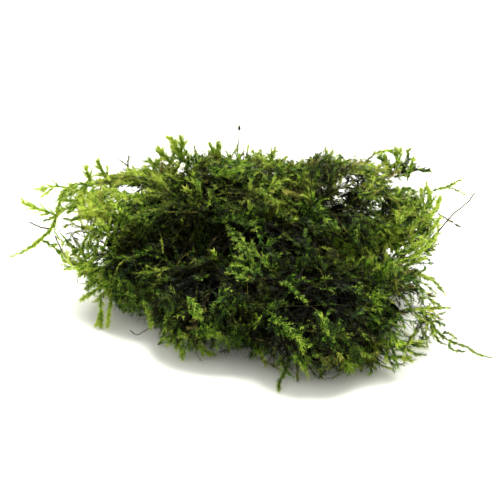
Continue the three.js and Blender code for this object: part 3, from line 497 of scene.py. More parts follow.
        (0.9, 0.1, 1.3, 1.2, 1, [(402, 268, -10.4), (412, 264, -10), (420, 260, -9.6),
            (427, 258, -9.4)]),
        (0.8, 0.1, 1.3, 1.2, 1, [(392, 256, -9), (402, 252, -8.6), (412, 248, -8), (421, 242, -7)]),
        (0.75, 0.1, 1.3, 1.2, 1, [(388, 264, -11), (398, 262, -10.8), (408, 259, -10.4),
            (417, 256, -10)]),
        (0.7, 0.1, 1.3, 1.2, 1, [(386, 272, -12), (396, 270, -12), (406, 269, -11.6)]),
        (0.95, 0.1, 1.3, 1, 1, [(424, 206, 5), (422, 198, 6), (421, 189, 7)]),
        (0.95, 0.1, 1.3, 1, 1, [(432, 204, 5), (430, 196, 6), (427, 188, 7)]),
        (0.95, 0.1, 1.3, 1, 1, [(436, 212, 4), (438, 204, 5), (440, 197, 6)]),
    ],
    "low_right_tuft": [
        (0.72, 0.1, 0.9, 1.4, 1, [(404, 270, -12), (409, 281, -13), (410, 292, -14),
            (412, 304, -15.4)]),
        (0.74, 0.1, 0.9, 1.2, 1, [(412, 276, -12), (419, 285, -13), (423, 295, -14),
            (421, 307, -15.6)]),
        (0.76, 0.1, 0.9, 1.2, 1, [(415, 280, -12), (425, 284, -12.6), (432, 290, -13),
            (437, 294, -13.4)]),
        (0.7, 0.15, 0.84, 1, 1, [(398, 312, -18), (406, 310, -18), (414, 312, -18.4), (420, 317, -19)]),
        (0.7, 0.15, 0.78, 1.2, 1, [(392, 318, -20), (402, 320, -20.6), (412, 322, -21),
            (422, 326, -21.4)]),
        (0.65, 0.3, 0.72, 0.8, 1, [(426, 314, -20.6), (428, 324, -21.4), (424, 334, -22.4),
            (420, 343, -23.6)]),
        (0.76, 0.1, 0.84, 1, 1, [(400, 330, -23), (408, 337, -24), (415, 334, -24), (419, 329, -23.6)]),
        (0.7, 0.15, 0.84, 1, 1, [(388, 308, -20), (391, 318, -21.6), (396, 328, -23),
            (402, 336, -24.4)]),
        (0.1, 0.9, 0.5, 0, 2.4, [(394, 301, -15), (398, 299, -15), (406, 298, -15)]),
        (0.15, 0.9, 0.35, 0, 2.4, [(393, 304, -15), (397, 308, -15.4), (402, 311, -16)]),
        (0.15, 0.9, 0.3, 0, 2.4, [(411, 317, -18), (416, 320, -18.4), (423, 322, -19)]),
        (0.84, 0.1, 0.9, 1.2, 1, [(404, 276, -12), (414, 274, -12), (424, 276, -12.4),
            (433, 280, -12.8)]),
        (0.82, 0.1, 0.9, 1.2, 1, [(402, 284, -12.6), (412, 288, -13), (422, 290, -13.4),
            (430, 297, -14)]),
        (0.82, 0.1, 0.9, 1.2, 1, [(399, 292, -14), (406, 300, -15), (411, 310, -16)]),
    ],
    "middle_tuft": [
        (0.68, 0.1, 0.85, 2.2, 3, [(227, 224), (233, 234), (240, 245), (246, 254), (253, 262)]),
        (0.73, 0.15, 0.77, 1.5, 3, [(258, 270), (253, 261), (249, 252), (244, 242), (240, 233)]),
        (0.7, 0.1, 0.77, 1.6, 3, [(270, 270), (264, 260), (257, 254), (253, 247), (252, 240)]),
        (0.86, 0.05, 0.77, 1.2, 3.4, [(252, 271), (245, 268), (238, 265), (231, 266)]),
        (0.78, 0.05, 0.77, 1.3, 3.2, [(252, 280), (245, 279), (239, 276), (233, 272)]),
        (0.5, 0.1, 0.77, 1.2, 2.6, [(309, 250), (308, 243), (305, 236), (306, 229)]),
        (0.48, 0.35, 0.68, 1, 2.6, [(300, 246), (293, 241), (287, 236), (282, 232)]),
        (0.48, 0.1, 0.68, 1.1, 2.6, [(326, 272), (323, 265), (320, 259), (317, 253)]),
        (0.73, 0.1, 0.77, 1.2, 3.2, [(236, 262), (230, 268), (226, 275)]),
        (0.73, 0.1, 0.77, 1.2, 3.2, [(246, 262), (240, 258), (234, 256)]),
        (0.68, 0.1, 0.77, 1.4, 3, [(256, 276), (250, 270), (243, 274), (238, 280)]),
        (0.63, 0.1, 0.77, 1.2, 3, [(262, 276), (258, 268), (262, 260)]),
        (0.58, 0.15, 0.77, 1.2, 3, [(272, 268), (276, 260), (281, 254)]),
    ],
}

# Stems that have lost their leaves: thickness against the rest, then the points in mm from root to
# tip. They follow the solids of the same names too.
BARE_STEMS = {
    "left_twig": (1.15, [(-46.4, 3.5, 17.9), (-48.5, 3, 18.4), (-51.1, 3, 19.8)]),
    "left_crossing_stem": (0.9, [(-45, 2.2, 16.6), (-43.8, 0.5, 14.4), (-41.6, -1.5, 12),
        (-36.5, -4.5, 9.4)]),
    "left_bent_stem": (0.8, [(-41.2, 7.5, 22.2), (-39.9, 7, 20.8), (-39.4, 6.5, 17.6),
        (-38.6, 5.5, 14.6)]),
    "bent_hair_stem": (0.7, [(-20.7, -17.2, 5.1), (-21.8, -17.6, 3.8), (-23.4, -17.6, 2.5),
        (-25.3, -17, 1.2), (-26.9, -15.4, 1.5)]),
    "right_bare_stem": (1.1, [(38.8, -2.6, 14.6), (43, 0.4, 18.4), (46.6, 2.6, 21.8), (50.3, 4, 24.7),
        (51.4, 4, 26.7)]),
    "capsule_stalk": (0.75, [(-2.8, 16, 28.4), (-2.9, 16, 31.6), (-2.7, 16, 35), (-2.6, 16, 37.2)]),
}
CAPSULE_CENTRE = (-2.5, 16, 37.8)
CAPSULE_RADII = (0.36, 0.36, 0.62)
CAPSULE_BEAK = 0.35  # how far the tip is drawn out, as a share of the capsule's height above its middle
BEAK_SHARPNESS = 6

# How a shoot grows, a step at a time. Steps and heights are in mm, and its turns at each step are
# against a heading of length 1.
SHOOT_STEP = 1.2
BRANCH_STEP = 0.9
STEADY_BEND = 0.06
WANDER = 0.1
RETURN = 0.32  # how hard a full pull turns it back, for each mm that it is off its height
RETURN_LIMIT = 2.0  # the mm off its height past which it isn't turned back harder
LOWEST_POINT = 0.7  # over the table
LOWEST_TIP = 0.75  # a shoot that comes lower than this ends there
STRAY = 2.4  # how far out of the tufts a shoot may go
STRAY_RISE = 0.035  # how much further, for each mm over the table
FEWEST_STEPS = 3
FEWEST_LEFT = 2  # a shoot that ends before this step is left out
FACING_SPREAD = 0.42  # how much the ways that shoots face differ, against a way of length 1

# The way that shoots lean over the skin: broad swirls and a sag are added to the sweep, which has
# a length of about 1. The sizes are in mm.
SWIRL = 0.9
SWIRL_SIZE = 34
RISING_SWIRL = 0.6  # strength up and down, against the level ones
RISING_SWIRL_SIZE = 30
SAG = 0.25

# Where shoots root. They grow thinly in patches, and not at all near the table, on an underside or
# deep inside another tuft.
ROOT_DEPTH = (0.82, 0.96)  # from the middle of the tuft, as a share of its radii
ROOT_SCATTER = 0.08  # against a way of length 1
THIN_PATCH_SIZE = 9  # mm
THIN_PATCH_MEAN = 0.95  # this and the next two are shares of the shoots
THIN_PATCH_SWING = 0.75
THIN_PATCH_LEAST = 0.3
DEEPEST_ROOT = -3  # mm out of the tufts
LOWEST_ROOT = 1.5  # mm over the table
UNDERSIDE = -0.6  # Z of the way out of the tuft, below which nothing roots

# How the shoots of one habit differ, besides what HABITS says. Some stand out as bright young ones,
# which are this many mm higher, lighter and larger, and some are dead.
START_SIDEWAYS = 0.6
START_SCATTER = 0.15
LENGTH_SPREAD = (0.55, 1.35)
LIGHT_SHIFT = -0.04
LIGHT_SPREAD = 0.15
DRY_SPREAD = 0.08
BRIGHT_SHARE = 0.16
BRIGHT_HEIGHT = 0.7
BRIGHT_LIGHT = 0.24
BRIGHT_SIZE = 1.2
DEAD_SHARE = 0.08
DEAD_DRY = 0.4

# Side branches of a shoot: length in mm, angle in degrees, and steps along the shoot between two.
BRANCH_LENGTH = (2.8, 5.6)
BRANCH_LENGTH_SPREAD = (0.6, 1.2)
BRANCH_SHORTENING = 0.7  # how much shorter they are at the tip, as a share of the length
BRANCH_ANGLE = (32, 55)
BRANCH_GAP = (1, 3)
BRANCH_FEWEST_STEPS = 2
UNBRANCHED_STEPS = 4  # a shoot of no more steps than this has no branches
BRANCH_HEIGHT = 0.2  # mm above the place where they start
BRANCH_PULL = 0.5
BRANCH_DROOP = 0.03
BRANCH_LIGHT = 0.04
BRANCH_SIZE = 0.92
BRANCH_YOUNG = 0.35  # a branch starts as young as the shoot is this far along

# Fronds along a route, and the twigs at their sides, in mm and degrees. The tone rises from root
# to tip.
FIRST_DEPTH = -20  # of a traced route that starts beside the tufts
FROND_STEP = 0.55
FROND_FACING = (0, -0.6, 0.8)
FROND_TILT = 0.22
FROND_TONE = -0.16
FROND_TONE_RISE = 0.2
TWIG_STEP = 0.6
TWIG_ANGLE = (34, 52)
TWIG_LENGTH_SPREAD = (0.75, 1.25)
TWIG_CURL = 0.35
TWIG_SCATTER = 0.12
TWIG_TILT = 0.25
TWIG_TONE = -0.14
TWIG_TONE_SPREAD = 0.07
TWIG_SIZE = (0.6, 0.9)
TWIG_SKIPPED = 0.3
LOOSE_SEED = 100  # the loose shoots count their random numbers from here, past those of the tufts

# Size of the leaves along a stem, and length of the twigs along a frond: places from root to tip,
# then the share at each.
SHOOT_TAPER = ([0, 0.72, 1], [0.9, 1, 0.5])
FROND_TAPER = ([0, 0.75, 1], [0.95, 1, 0.6])
TWIG_TAPER = ([0, 0.6, 1], [0.9, 1, 0.6])
TWIG_LENGTHS = ([0, 0.35, 1], [0.7, 1.0, 0.35])

# Tone says how light a leaf is, from 0 to 1, and these make it up. Heights and sizes are in mm,
# and the clump's edge is a share of its half length and depth. The rise towards a shoot's tip is
# its young growth. The edge term is a painted glow of light coming through from behind, and the top
# term is painted light where the key light falls. Lighter where a shoot stands out of its tuft and
# darker deep inside is partly older growth and partly painted shade.
TONE_START = 0.21
TONE_PATCHES = 0.08
TONE_PATCH_SIZE = 21
TONE_TIP = 0.16
TONE_MIDDLE = 0.4
TONE_PER_MM_OUT = 0.04
TONE_OUT_LIMIT = 4
PAINTED_EDGE_GLOW = 0.3
EDGE_START = 0.82
EDGE_WIDTH = 0.3
PAINTED_TOP_LIGHT = 0.24
TOP_START = 23
TOP_DEPTH = 7
LEAF_TONE = -0.08
LEAF_TIP_TONE = 0.2
LEAF_TONE_SPREAD = 0.32

# Brown says how dry a leaf is, in the same way.
BROWN_START = 0.2
BROWN_PATCHES = 0.35
BROWN_PATCH_SIZE = 16
BROWN_PATCH_LEAST = -0.4
BROWN_OLD_END = 0.25
BROWN_MIDDLE = 0.5

# A leaf is a triangle: the place of each corner along it and across it, as shares of its length and
# width, then 1 at the tip. The three pairs differ in how far their two leaves turn, against the
# usual angle, and in how steeply both lift off the stem.
LEAF_CORNERS = ((0.06, -0.5, 0), (1, 0, 1), (0, 0.5, 0))
LEAF_PAIRS = {"A": (1.0, 0.86, 0.22), "B": (0.8, 1.12, -0.12), "C": (1.15, 0.95, 0.45)}
LEAF_SIZE_SPREAD = (0.8, 1.18)
LEAF_DISORDER = 0.45
LOWEST_LEAF = 0.1  # mm over the table

# Stems, in mm: the length of a segment, the sides of the section, and how thick the tip is against
# the root. A bare stem wanders a little from its route.
STEM_STEP = 2.2
STEM_SIDES = 3
STEM_END = 0.45
BARE_STEM_STEP = 0.5
BARE_STEM_SIDES = 6
BARE_STEM_END = 0.75
BARE_ROUTE_STEP = 0.6
BARE_STEM_WANDER = 0.06
BARE_STEM_TONE = 0.3
BARE_STEM_BROWN = 0.9

# The inner tangle: how high its swells and lumps are, as a share of its radii, and how many mm wide.
# It starts this many mm over the table.
TANGLE_SWELL = 0.1
TANGLE_SWELL_SIZE = 9
TANGLE_LUMPS = 0.08
TANGLE_LUMP_SIZE = 4
TANGLE_FLOOR = 0.3

# The colour map of the leaves: its axes are tone and brown. The corners of a face lie a little
# apart in it, so that no face is empty there.
MAP_SHARE = 0.98
MAP_LIMITS = (0.02, 0.98)
MAP_SPREAD = 0.004

# The finish of the bark, the old litter and the card under the clump.
BLOTCHES_PER_MM = 0.65  # of the bark, so that each is about 1.5 mm
SCRAPS_PER_MM = 0.42  # of the litter, so that each is about 2.4 mm
PALE_BARK = "#7d6848"
# The litter colours are near black: old litter, and also a painted shade for the inside of the clump.
LITTER_SHADE = "#010201"
LITTER = "#040603"
LITTER_SCRAPS = "#0b0c06"
CARD_WHITE = "#f4f4ea"

# Each light stands this way from the clump, and looks this many degrees wide. The table's side is
# in m.
KEY_PLACE = (0.12, 0.35, 0.85)
KEY_WIDTH = 44
FILL_PLACE = (-0.4, -0.7, 0.6)
FILL_WIDTH = 60
TABLE_SIZE = 4


def linear(hex_colour):
    """An sRGB hex colour as linear red, green, blue and a full alpha."""
    channels = [int(hex_colour[i:i + 2], 16) / 255 for i in (1, 3, 5)]
    return tuple(c / 12.92 if c <= 0.04045 else ((c + 0.055) / 1.055) ** 2.4 for c in channels) + (1.0,)


def colour_property(name, description, hex_colour):
    return FloatVectorProperty(name=name, description=description, default=linear(hex_colour), size=4,
                               subtype="COLOR", min=0, max=1)


def length_property(name, description, millimetres):
    return FloatProperty(name=name, description=description, default=millimetres * MM, unit="LENGTH")


class MossShape(bpy.types.PropertyGroup):
    leaf_length: length_property("Leaf Length", "From the stem to the tip of one leaf", 1.2)
    leaf_width: length_property("Leaf Width", "Across one leaf at its widest", 0.26)
    leaf_spacing: length_property("Leaf Spacing", "Between two leaf pairs along a stem", 0.35)
    leaf_angle: FloatProperty(
        name="Leaf Angle", description="How far a leaf turns away from its stem",
        default=math.radians(26), subtype="ANGLE")
    stem_radius: length_property("Stem Radius", "Radius of a leafy stem at its root", 0.11)
    bare_stem_radius: length_property("Bare Stem Radius", "Radius of a bare stem at its root", 0.2)
    shoot_length: length_property("Shoot Length", "Usual length of a shoot", 12)
    shoots_per_area: FloatProperty(
        name="Shoots per Square Millimetre", description="How densely shoots root on the tufts",
        default=0.72)
    tangle_share: FloatProperty(
        name="Tangle Share", description="Size of the dark inner tangle against the tufts", default=0.7,
        subtype="FACTOR", min=0, max=1)
    seed: IntProperty(name="Seed", description="Sets how the shoots wander", default=7)


class MossColours(bpy.types.PropertyGroup):
    shade: colour_property("Shade", "Leaves deep in the tangle", "#060a05")
    deep: colour_property("Deep Green", "Old leaves", "#16240d")
    green: colour_property("Green", "Grown leaves", "#324d18")
    fresh: colour_property("Fresh Green", "Younger leaves", "#507a22")
    lime: colour_property("Lime", "Leaves of this season", "#87ae2c")
    tip: colour_property("Tip", "Growing tips", "#c6d655")
    umber: colour_property("Umber", "Dead leaves in shade", "#140d08")
    bark: colour_property("Bark Brown", "Dead leaves and stems", "#3d2d17")
    straw: colour_property("Straw", "Dry tips", "#9a8648")


class Studio(bpy.types.PropertyGroup):
    key_power: FloatProperty(
        name="Key Strength", description="Strength of the large soft light above and behind", default=7.4)
    fill_power: FloatProperty(
        name="Fill Strength", description="Strength of the soft light at the front", default=0.25)
    sky_strength: FloatProperty(
        name="Sky Strength", description="Strength of the white surround", default=1.0)
    elevation: FloatProperty(
        name="Camera Elevation", description="How far the camera looks down",
        default=math.radians(VIEW_ANGLE), subtype="ANGLE")
    distance: length_property("Camera Distance", "From the camera to the middle of the clump",
                              VIEW_DISTANCE)


def add_node(tree, kind, settings=None, links=None):
    """Adds one node, with its settings, and with its inputs linked to sockets or set to values."""
    new = tree.nodes.new(kind)
    for name, value in (settings or {}).items():
        setattr(new, name, value)
    for socket, source in (links or {}).items():
        if isinstance(source, bpy.types.NodeSocket):
            tree.links.new(source, new.inputs[socket])
        else:
            new.inputs[socket].default_value = source
    return new


def set_ramp(ramp, stops):
    """Gives a colour ramp its stops, as pairs of place and colour."""
    elements = ramp.color_ramp.elements
    while len(elements) > 1:
        elements.remove(elements[-1])
    elements[0].position = stops[0][0]
    elements[0].color = stops[0][1]
    for place, colour in stops[1:]:
        elements.new(place).color = colour


def empty_material(name):
    material = bpy.data.materials.new(name)
    material.use_nodes = True
    material.node_tree.nodes.clear()
    return material


def moss_leaf_material(colours):
    """Damp moss leaf: one cell thick, so half of its light comes through from behind, and a film of
    water gives it a faint sheen. The attribute tone says how young each leaf is, and also carries
    painted light and shade: lighter at the top and edge of the clump and where a shoot stands out,
    darker deep inside and in the shade of other shoots. The attribute brown says how dry it is."""
    material = empty_material("damp_moss_leaf")
    tree = material.node_tree
    tone = add_node(tree, "ShaderNodeAttribute", {"attribute_name": "tone"}).outputs["Fac"]
    brown = add_node(tree, "ShaderNodeAttribute", {"attribute_name": "brown"}).outputs["Fac"]
    living = add_node(tree, "ShaderNodeValToRGB", links={"Fac": tone})
    set_ramp(living, [
        (0.0, colours.shade), (0.22, colours.deep), (0.45, colours.green), (0.62, colours.fresh),
        (0.8, colours.lime), (1.0, colours.tip)])
    dry = add_node(tree, "ShaderNodeValToRGB", links={"Fac": tone})
    set_ramp(dry, [(0.0, colours.umber), (0.45, colours.bark), (1.0, colours.straw)])
    colour = add_node(tree, "ShaderNodeMix", {"data_type": "RGBA"},
                      {"Factor": brown, "A": living.outputs["Color"], "B": dry.outputs["Color"]})
    surface = add_node(tree, "ShaderNodeBsdfPrincipled", links={
        "Base Color": colour.outputs["Result"], "Roughness": 0.5, "Specular IOR Level": 0.12})
    glow = add_node(tree, "ShaderNodeBsdfTranslucent", links={"Color": colour.outputs["Result"]})
    leaf = add_node(tree, "ShaderNodeMixShader", links={
        0: 0.5, 1: surface.outputs["BSDF"], 2: glow.outputs["BSDF"]})
    add_node(tree, "ShaderNodeOutputMaterial", links={"Surface": leaf.outputs["Shader"]})
    return material


def bare_stem_material(colours):
    """Dead moss stem: dry brown bark, dull, darker and lighter along its length."""
    material = empty_material("dry_moss_stem")
    tree = material.node_tree
    place = add_node(tree, "ShaderNodeTexCoord").outputs["Object"]
    blotches = add_node(tree, "ShaderNodeTexNoise", links={
        "Vector": place, "Scale": BLOTCHES_PER_MM / MM, "Detail": 2.0})
    ramp = add_node(tree, "ShaderNodeValToRGB", links={"Fac": blotches.outputs["Fac"]})
    set_ramp(ramp, [(0.25, colours.umber), (0.48, colours.bark), (0.72, linear(PALE_BARK))])
    surface = add_node(tree, "ShaderNodeBsdfPrincipled", links={
        "Base Color": ramp.outputs["Color"], "Roughness": 0.7})
    add_node(tree, "ShaderNodeOutputMaterial", links={"Surface": surface.outputs["BSDF"]})
    return material


def old_tangle_material():
    """Old moss litter: rotted brown-black stems and leaves, dull. Its near-black colour is also a
    painted shade for the inside of the clump, where almost no light gets.
    """
    material = empty_material("rotted_litter_and_painted_shade")
    tree = material.node_tree
    place = add_node(tree, "ShaderNodeTexCoord").outputs["Object"]
    scraps = add_node(tree, "ShaderNodeTexNoise", links={
        "Vector": place, "Scale": SCRAPS_PER_MM / MM, "Detail": 4.0, "Roughness": 0.7})
    ramp = add_node(tree, "ShaderNodeValToRGB", links={"Fac": scraps.outputs["Fac"]})
    set_ramp(ramp, [(0.35, linear(LITTER_SHADE)), (0.6, linear(LITTER)), (0.8, linear(LITTER_SCRAPS))])
    surface = add_node(tree, "ShaderNodeBsdfPrincipled", links={
        "Base Color": ramp.outputs["Color"], "Roughness": 0.9, "Specular IOR Level": 0.0})
    add_node(tree, "ShaderNodeOutputMaterial", links={"Surface": surface.outputs["BSDF"]})
    return material


def unit(vectors):
    return vectors / np.maximum(np.linalg.norm(vectors, axis=-1, keepdims=True), 1e-9)


def sight_line(px, py):
    """The way from the eye through a pixel of the photo."""
    middle = PHOTO_PIXELS / 2
    return VIEW_WAY + VIEW_RIGHT * ((px - middle) / PIXELS_AWAY) + VIEW_UP * ((middle - py) / PIXELS_AWAY)


def at_depth(px, py, depth):
    """The point in mm that is seen at a pixel of the photo and lies at a depth along Y."""
    way = sight_line(px, py)
    return EYE + way * ((depth - EYE[1]) / way[1])


def on_tufts(px, py, height):
    """The nearest point in mm that is seen at a pixel of the photo and lies on the tufts, raised by
    a height, or None where there is no tuft."""
    way = unit(sight_line(px, py))
    nearest = math.inf
    for centre, radii in TUFTS.values():
        raised = np.array(radii) + height
        start = (EYE - np.array(centre)) / raised
        along = way / raised
        a = along @ along
        b = 2 * start @ along
        c = start @ start - 1
        under_root = b * b - 4 * a * c
        if under_root > 0:
            nearest = min(nearest, (-b - under_root ** 0.5) / (2 * a))
    return None if nearest == math.inf else EYE + way * nearest


def traced_route(points, height):
    """The route in mm, to the tenth, that was traced on the photo as pixels. Each point lies at its
    own depth or else on the tufts. Beside the tufts it is as deep as the point before it."""
    route = []
    for px, py, *depth in points:
        place = at_depth(px, py, depth[0]) if depth else on_tufts(px, py, height)
        if place is None:
            place = at_depth(px, py, route[-1][1] if route else FIRST_DEPTH)
        route.append(place)
    return np.round(route, 1)


def skin(points):
    """How far each point is outside the nearest tuft, in mm, and the way straight out of it."""
    nearest = np.full(len(points), np.inf)
    outward = np.zeros_like(points)
    for centre, radii in TUFTS.values():
        offset = (points - np.array(centre)) / np.array(radii)
        share = np.maximum(np.linalg.norm(offset, axis=1), 1e-6)
        slope = offset / (share[:, None] * np.array(radii))
        steepness = np.linalg.norm(slope, axis=1)
        distance = (share - 1) / steepness
        closer = distance < nearest
        nearest[closer] = distance[closer]
        outward[closer] = (slope / steepness[:, None])[closer]
    return nearest, outward


def patches(points, size, phase):
    """A soft pattern of patches about size mm across, from -1 to 1. Each phase gives another one."""
    x, y, z = (points * (2 * math.pi / size)).T
    waves = np.sin(x + 1.3 * y + phase) + np.sin(1.7 * y - 0.8 * z + 2.1 * phase)
    waves += np.sin(1.1 * z - 1.5 * x + 3.7 * phase) + np.sin(2.3 * x + 2.1 * z - 0.9 * y + phase)
    return waves / 4


def zone_shifts(points):
    """How much lighter and browner shoots are at each point, and the share that grow there. Much of
    the lightening and darkening is painted light and painted shade.
    """
    lighter = np.zeros(len(points))
    browner = np.zeros(len(points))
    growing = np.ones(len(points))
    for centre, radii, light, brown, share in ZONES:
        offset = np.linalg.norm((points - np.array(centre)) / np.array(radii), axis=1)
        weight = np.clip(ZONE_REACH - ZONE_FADE * offset, 0, 1)
        lighter += weight * light
        browner += weight * brown
        growing *= 1 - weight * (1 - share)
    return lighter, browner, growing


def flow(points, outward, sweep=None):
    """The way shoots lean over the skin at each point: with the tuft's sweep or away from the
    middle, in broad swirls."""
    away = unit(points * (1, 1, 0)) if sweep is None else np.array(sweep) * np.ones((len(points), 1))
    swirl = np.stack([
        patches(points, SWIRL_SIZE, phase=1.1), patches(points, SWIRL_SIZE, phase=5.2),
        RISING_SWIRL * patches(points, RISING_SWIRL_SIZE, phase=8.3)], 1)
    lean = away + SWIRL * swirl - SAG * UP
    along = lean - np.sum(lean * outward, 1, keepdims=True) * outward
    return unit(along)


class Wires:
    """Stem lines with what the leaves along them need to know."""

    def __init__(self):
        self.points = []
        self.edges = []
        self.values = {"facing": [], "tone": [], "brown": [], "size": [], "leafy": []}
        self.count = 0

    def add(self, path, facing, tone, brown, size, leafy=1.0):
        self.points.append(path)
        first = self.count
        self.edges.extend((first + i, first + i + 1) for i in range(len(path) - 1))
        self.values["facing"].append(facing)
        for name, value in (("tone", tone), ("brown", brown), ("size", size), ("leafy", leafy)):
            self.values[name].append(np.broadcast_to(value, len(path)))
        self.count += len(path)

    def to_object(self, name):
        points = np.concatenate(self.points) * MM
        mesh = bpy.data.meshes.new(name)
        mesh.from_pydata(points.tolist(), self.edges, [])
        facing = mesh.attributes.new("facing", "FLOAT_VECTOR", "POINT")
        facing.data.foreach_set("vector", np.concatenate(self.values["facing"]).astype(np.float32).ravel())
        for key in ("tone", "brown", "size", "leafy"):
            attribute = mesh.attributes.new(key, "FLOAT", "POINT")
            attribute.data.foreach_set("value", np.concatenate(self.values[key]).astype(np.float32))
        wire = bpy.data.objects.new(name, mesh)
        bpy.context.scene.collection.objects.link(wire)
        return wire


def creep(roots, headings, steps, height, pull, droop, rng, step=SHOOT_STEP):
    """Grows shoots from their roots over the tufts. Each keeps near its height over the skin as
    hard as its pull says, hangs by its droop, and wanders a little. Returns the paths, one row a
    step, and the way out of the tuft at each point."""
    points = roots.copy()
    headings = unit(headings)
    bend = rng.normal(0, STEADY_BEND, headings.shape)
    paths = [points]
    outs = [skin(points)[1]]
    for _ in range(steps):
        distance, outward = skin(points)
        lift = np.clip(height - distance, -RETURN_LIMIT, RETURN_LIMIT) * pull * RETURN
        headings = headings + lift[:, None] * outward - droop[:, None] * UP
        headings += rng.normal(0, WANDER, headings.shape) + bend
        headings = unit(headings)
        points = points + step * headings
        points[:, 2] = np.maximum(points[:, 2], LOWEST_POINT)
        paths.append(points)
        outs.append(outward)
    return np.array(paths), np.array(outs)


def in_opening(points):
    """Whether each point lies in an opening through the tangle."""
    way = OPENING_WAY / np.linalg.norm(OPENING_WAY)
    inside = np.zeros(len(points), bool)
    for px, py, depth, radius, half_length in OPENINGS:
        offset = points - np.round(at_depth(px, py, depth), 1)
        along = offset @ way
        across = np.linalg.norm(offset - along[:, None] * way, axis=1)
        inside |= (across < radius) & (np.abs(along) < half_length)
    return inside


def leaf_tone(points, along, light):
    """How light the leaves are at each point: lighter at a shoot's young tip; lighter at the clump's
    edge, at the top and where a shoot stands out, which is painted light; and dark deep inside, which
    is partly older growth and partly painted shade."""
    out = np.clip(skin(points)[0], -TONE_OUT_LIMIT, TONE_OUT_LIMIT)
    edge = np.clip((np.linalg.norm(points[:, :2] / CLUMP_HALF, axis=1) - EDGE_START) / EDGE_WIDTH, 0, 1)
    top = np.clip((points[:, 2] - TOP_START) / TOP_DEPTH, 0, 1)
    tone = TONE_START + light + TONE_PATCHES * patches(points, TONE_PATCH_SIZE, phase=0.6)
    tone += TONE_TIP * (along - TONE_MIDDLE)
    tone += TONE_PER_MM_OUT * out + PAINTED_EDGE_GLOW * edge
    return tone + PAINTED_TOP_LIGHT * top


def leaf_brown(points, along, dry):
    """How dry the leaves are: in patches, and towards a shoot's old end."""
    patchy = np.clip(patches(points, BROWN_PATCH_SIZE, phase=2.2), BROWN_PATCH_LEAST, 1)
    return BROWN_START + dry + BROWN_PATCHES * patchy - BROWN_OLD_END * (along - BROWN_MIDDLE)


def dress(wires, paths, ways, steps, traits, rng, young=0.0):
    """Turns grown paths into stem lines. traits holds what each shoot has of its own: light, dry,
    size, leafy and how much further than usual it may stray. A shoot ends where it meets the table
    or an opening or strays too far from the clump."""
    rows, count, _ = paths.shape
    along = young + (1 - young) * np.clip(np.arange(rows)[:, None] / steps[None, :], 0, 1)
    flat = paths.reshape(-1, 3)
    lighter, browner, _ = zone_shifts(flat)
    light = np.broadcast_to(traits["light"], (rows, count)).ravel()
    dry = np.broadcast_to(traits["dry"], (rows, count)).ravel()
    stray = (skin(flat)[0] - STRAY - STRAY_RISE * flat[:, 2]).reshape(rows, count) > traits["stray"]
    stray |= in_opening(flat).reshape(rows, count)
    tone = (leaf_tone(flat, along.ravel(), light) + lighter).reshape(rows, count)
    brown = (leaf_brown(flat, along.ravel(), dry) + browner).reshape(rows, count)
    tilt = rng.normal(0, FACING_SPREAD, (count, 3))
    facing = unit(ways + tilt)
    for k in range(count):
        last = int(steps[k])
        ended = np.flatnonzero((paths[:last + 1, k, 2] < LOWEST_TIP) | stray[:last + 1, k])
        if len(ended):
            last = min(last, ended[0])
        if last < FEWEST_LEFT:
            continue
        line = slice(0, last + 1)
        size = traits["size"][k] * np.interp(along[line, k], *SHOOT_TAPER)
        wires.add(paths[line, k], facing[line, k], tone[line, k], brown[line, k], size,
                  traits["leafy"][k])


def side_branches(wires, paths, ways, steps, traits, branched, rng):
    """Side branches on alternate sides of the branched shoots, shorter towards the tip."""
    starts = []
    headings = []
    reach = []
    parents = []
    for k in np.flatnonzero(branched):
        last = int(steps[k])
        full = rng.uniform(*BRANCH_LENGTH)
        turn = rng.choice([-1, 1])
        index = rng.integers(*BRANCH_GAP, endpoint=True)
        while index < last:
            tangent = unit(paths[index + 1, k] - paths[index - 1, k])
            side = unit(np.cross(ways[index, k], tangent))
            angle = math.radians(rng.uniform(*BRANCH_ANGLE))
            starts.append(paths[index, k])
            headings.append(math.cos(angle) * tangent + turn * math.sin(angle) * side)
            shorter = 1 - BRANCH_SHORTENING * index / last
            reach.append(full * shorter * rng.uniform(*BRANCH_LENGTH_SPREAD))
            parents.append(k)
            turn = -turn
            index += rng.integers(*BRANCH_GAP, endpoint=True)
    if not starts:
        return
    starts = np.array(starts)
    parents = np.array(parents)
    lengths = np.maximum(BRANCH_FEWEST_STEPS, np.round(np.array(reach) / BRANCH_STEP)).astype(int)
    count = len(starts)
    height = skin(starts)[0] + BRANCH_HEIGHT
    grown, outs = creep(starts, np.array(headings), int(lengths.max()), height,
                        np.full(count, BRANCH_PULL), np.full(count, BRANCH_DROOP), rng, BRANCH_STEP)
    own = {name: traits[name][parents] for name in traits}
    own["light"] = own["light"] + BRANCH_LIGHT
    own["size"] = own["size"] * BRANCH_SIZE
    dress(wires, grown, outs, lengths, own, rng, young=BRANCH_YOUNG)


def rooted(name, count, rng):
    """Roots spread evenly over a tuft, a little way under its skin."""
    centre, radii = (np.array(values, float) for values in TUFTS[name])
    order = np.arange(count) + 0.5
    z = 1 - 2 * order / count
    golden_turn = math.pi * (1 + 5 ** 0.5)
    turn = golden_turn * order
    ring = np.sqrt(1 - z * z)
    directions = np.stack([ring * np.cos(turn), ring * np.sin(turn), z], 1)
    directions = unit(directions + rng.normal(0, ROOT_SCATTER, (count, 3)))
    return centre + directions * radii * rng.uniform(*ROOT_DEPTH, (count, 1))


def smooth_route(route, step):
    """Points about step mm apart on a smooth curve through a route."""
    knots = np.array(route, float)
    padded = np.vstack([2 * knots[0] - knots[1], knots, 2 * knots[-1] - knots[-2]])
    points = []
    for i in range(1, len(padded) - 2):
        before, start, end, after = padded[i - 1:i + 3]
        linear_part = end - before
        square_part = 2 * before - 5 * start + 4 * end - after
        cubic_part = 3 * start - before - 3 * end + after
        count = max(2, round(np.linalg.norm(end - start) / step))
        for t in np.arange(count) / count:
            points.append(0.5 * (2 * start + linear_part * t + square_part * t ** 2 + cubic_part * t ** 3))
    points.append(knots[-1])
    return np.array(points)


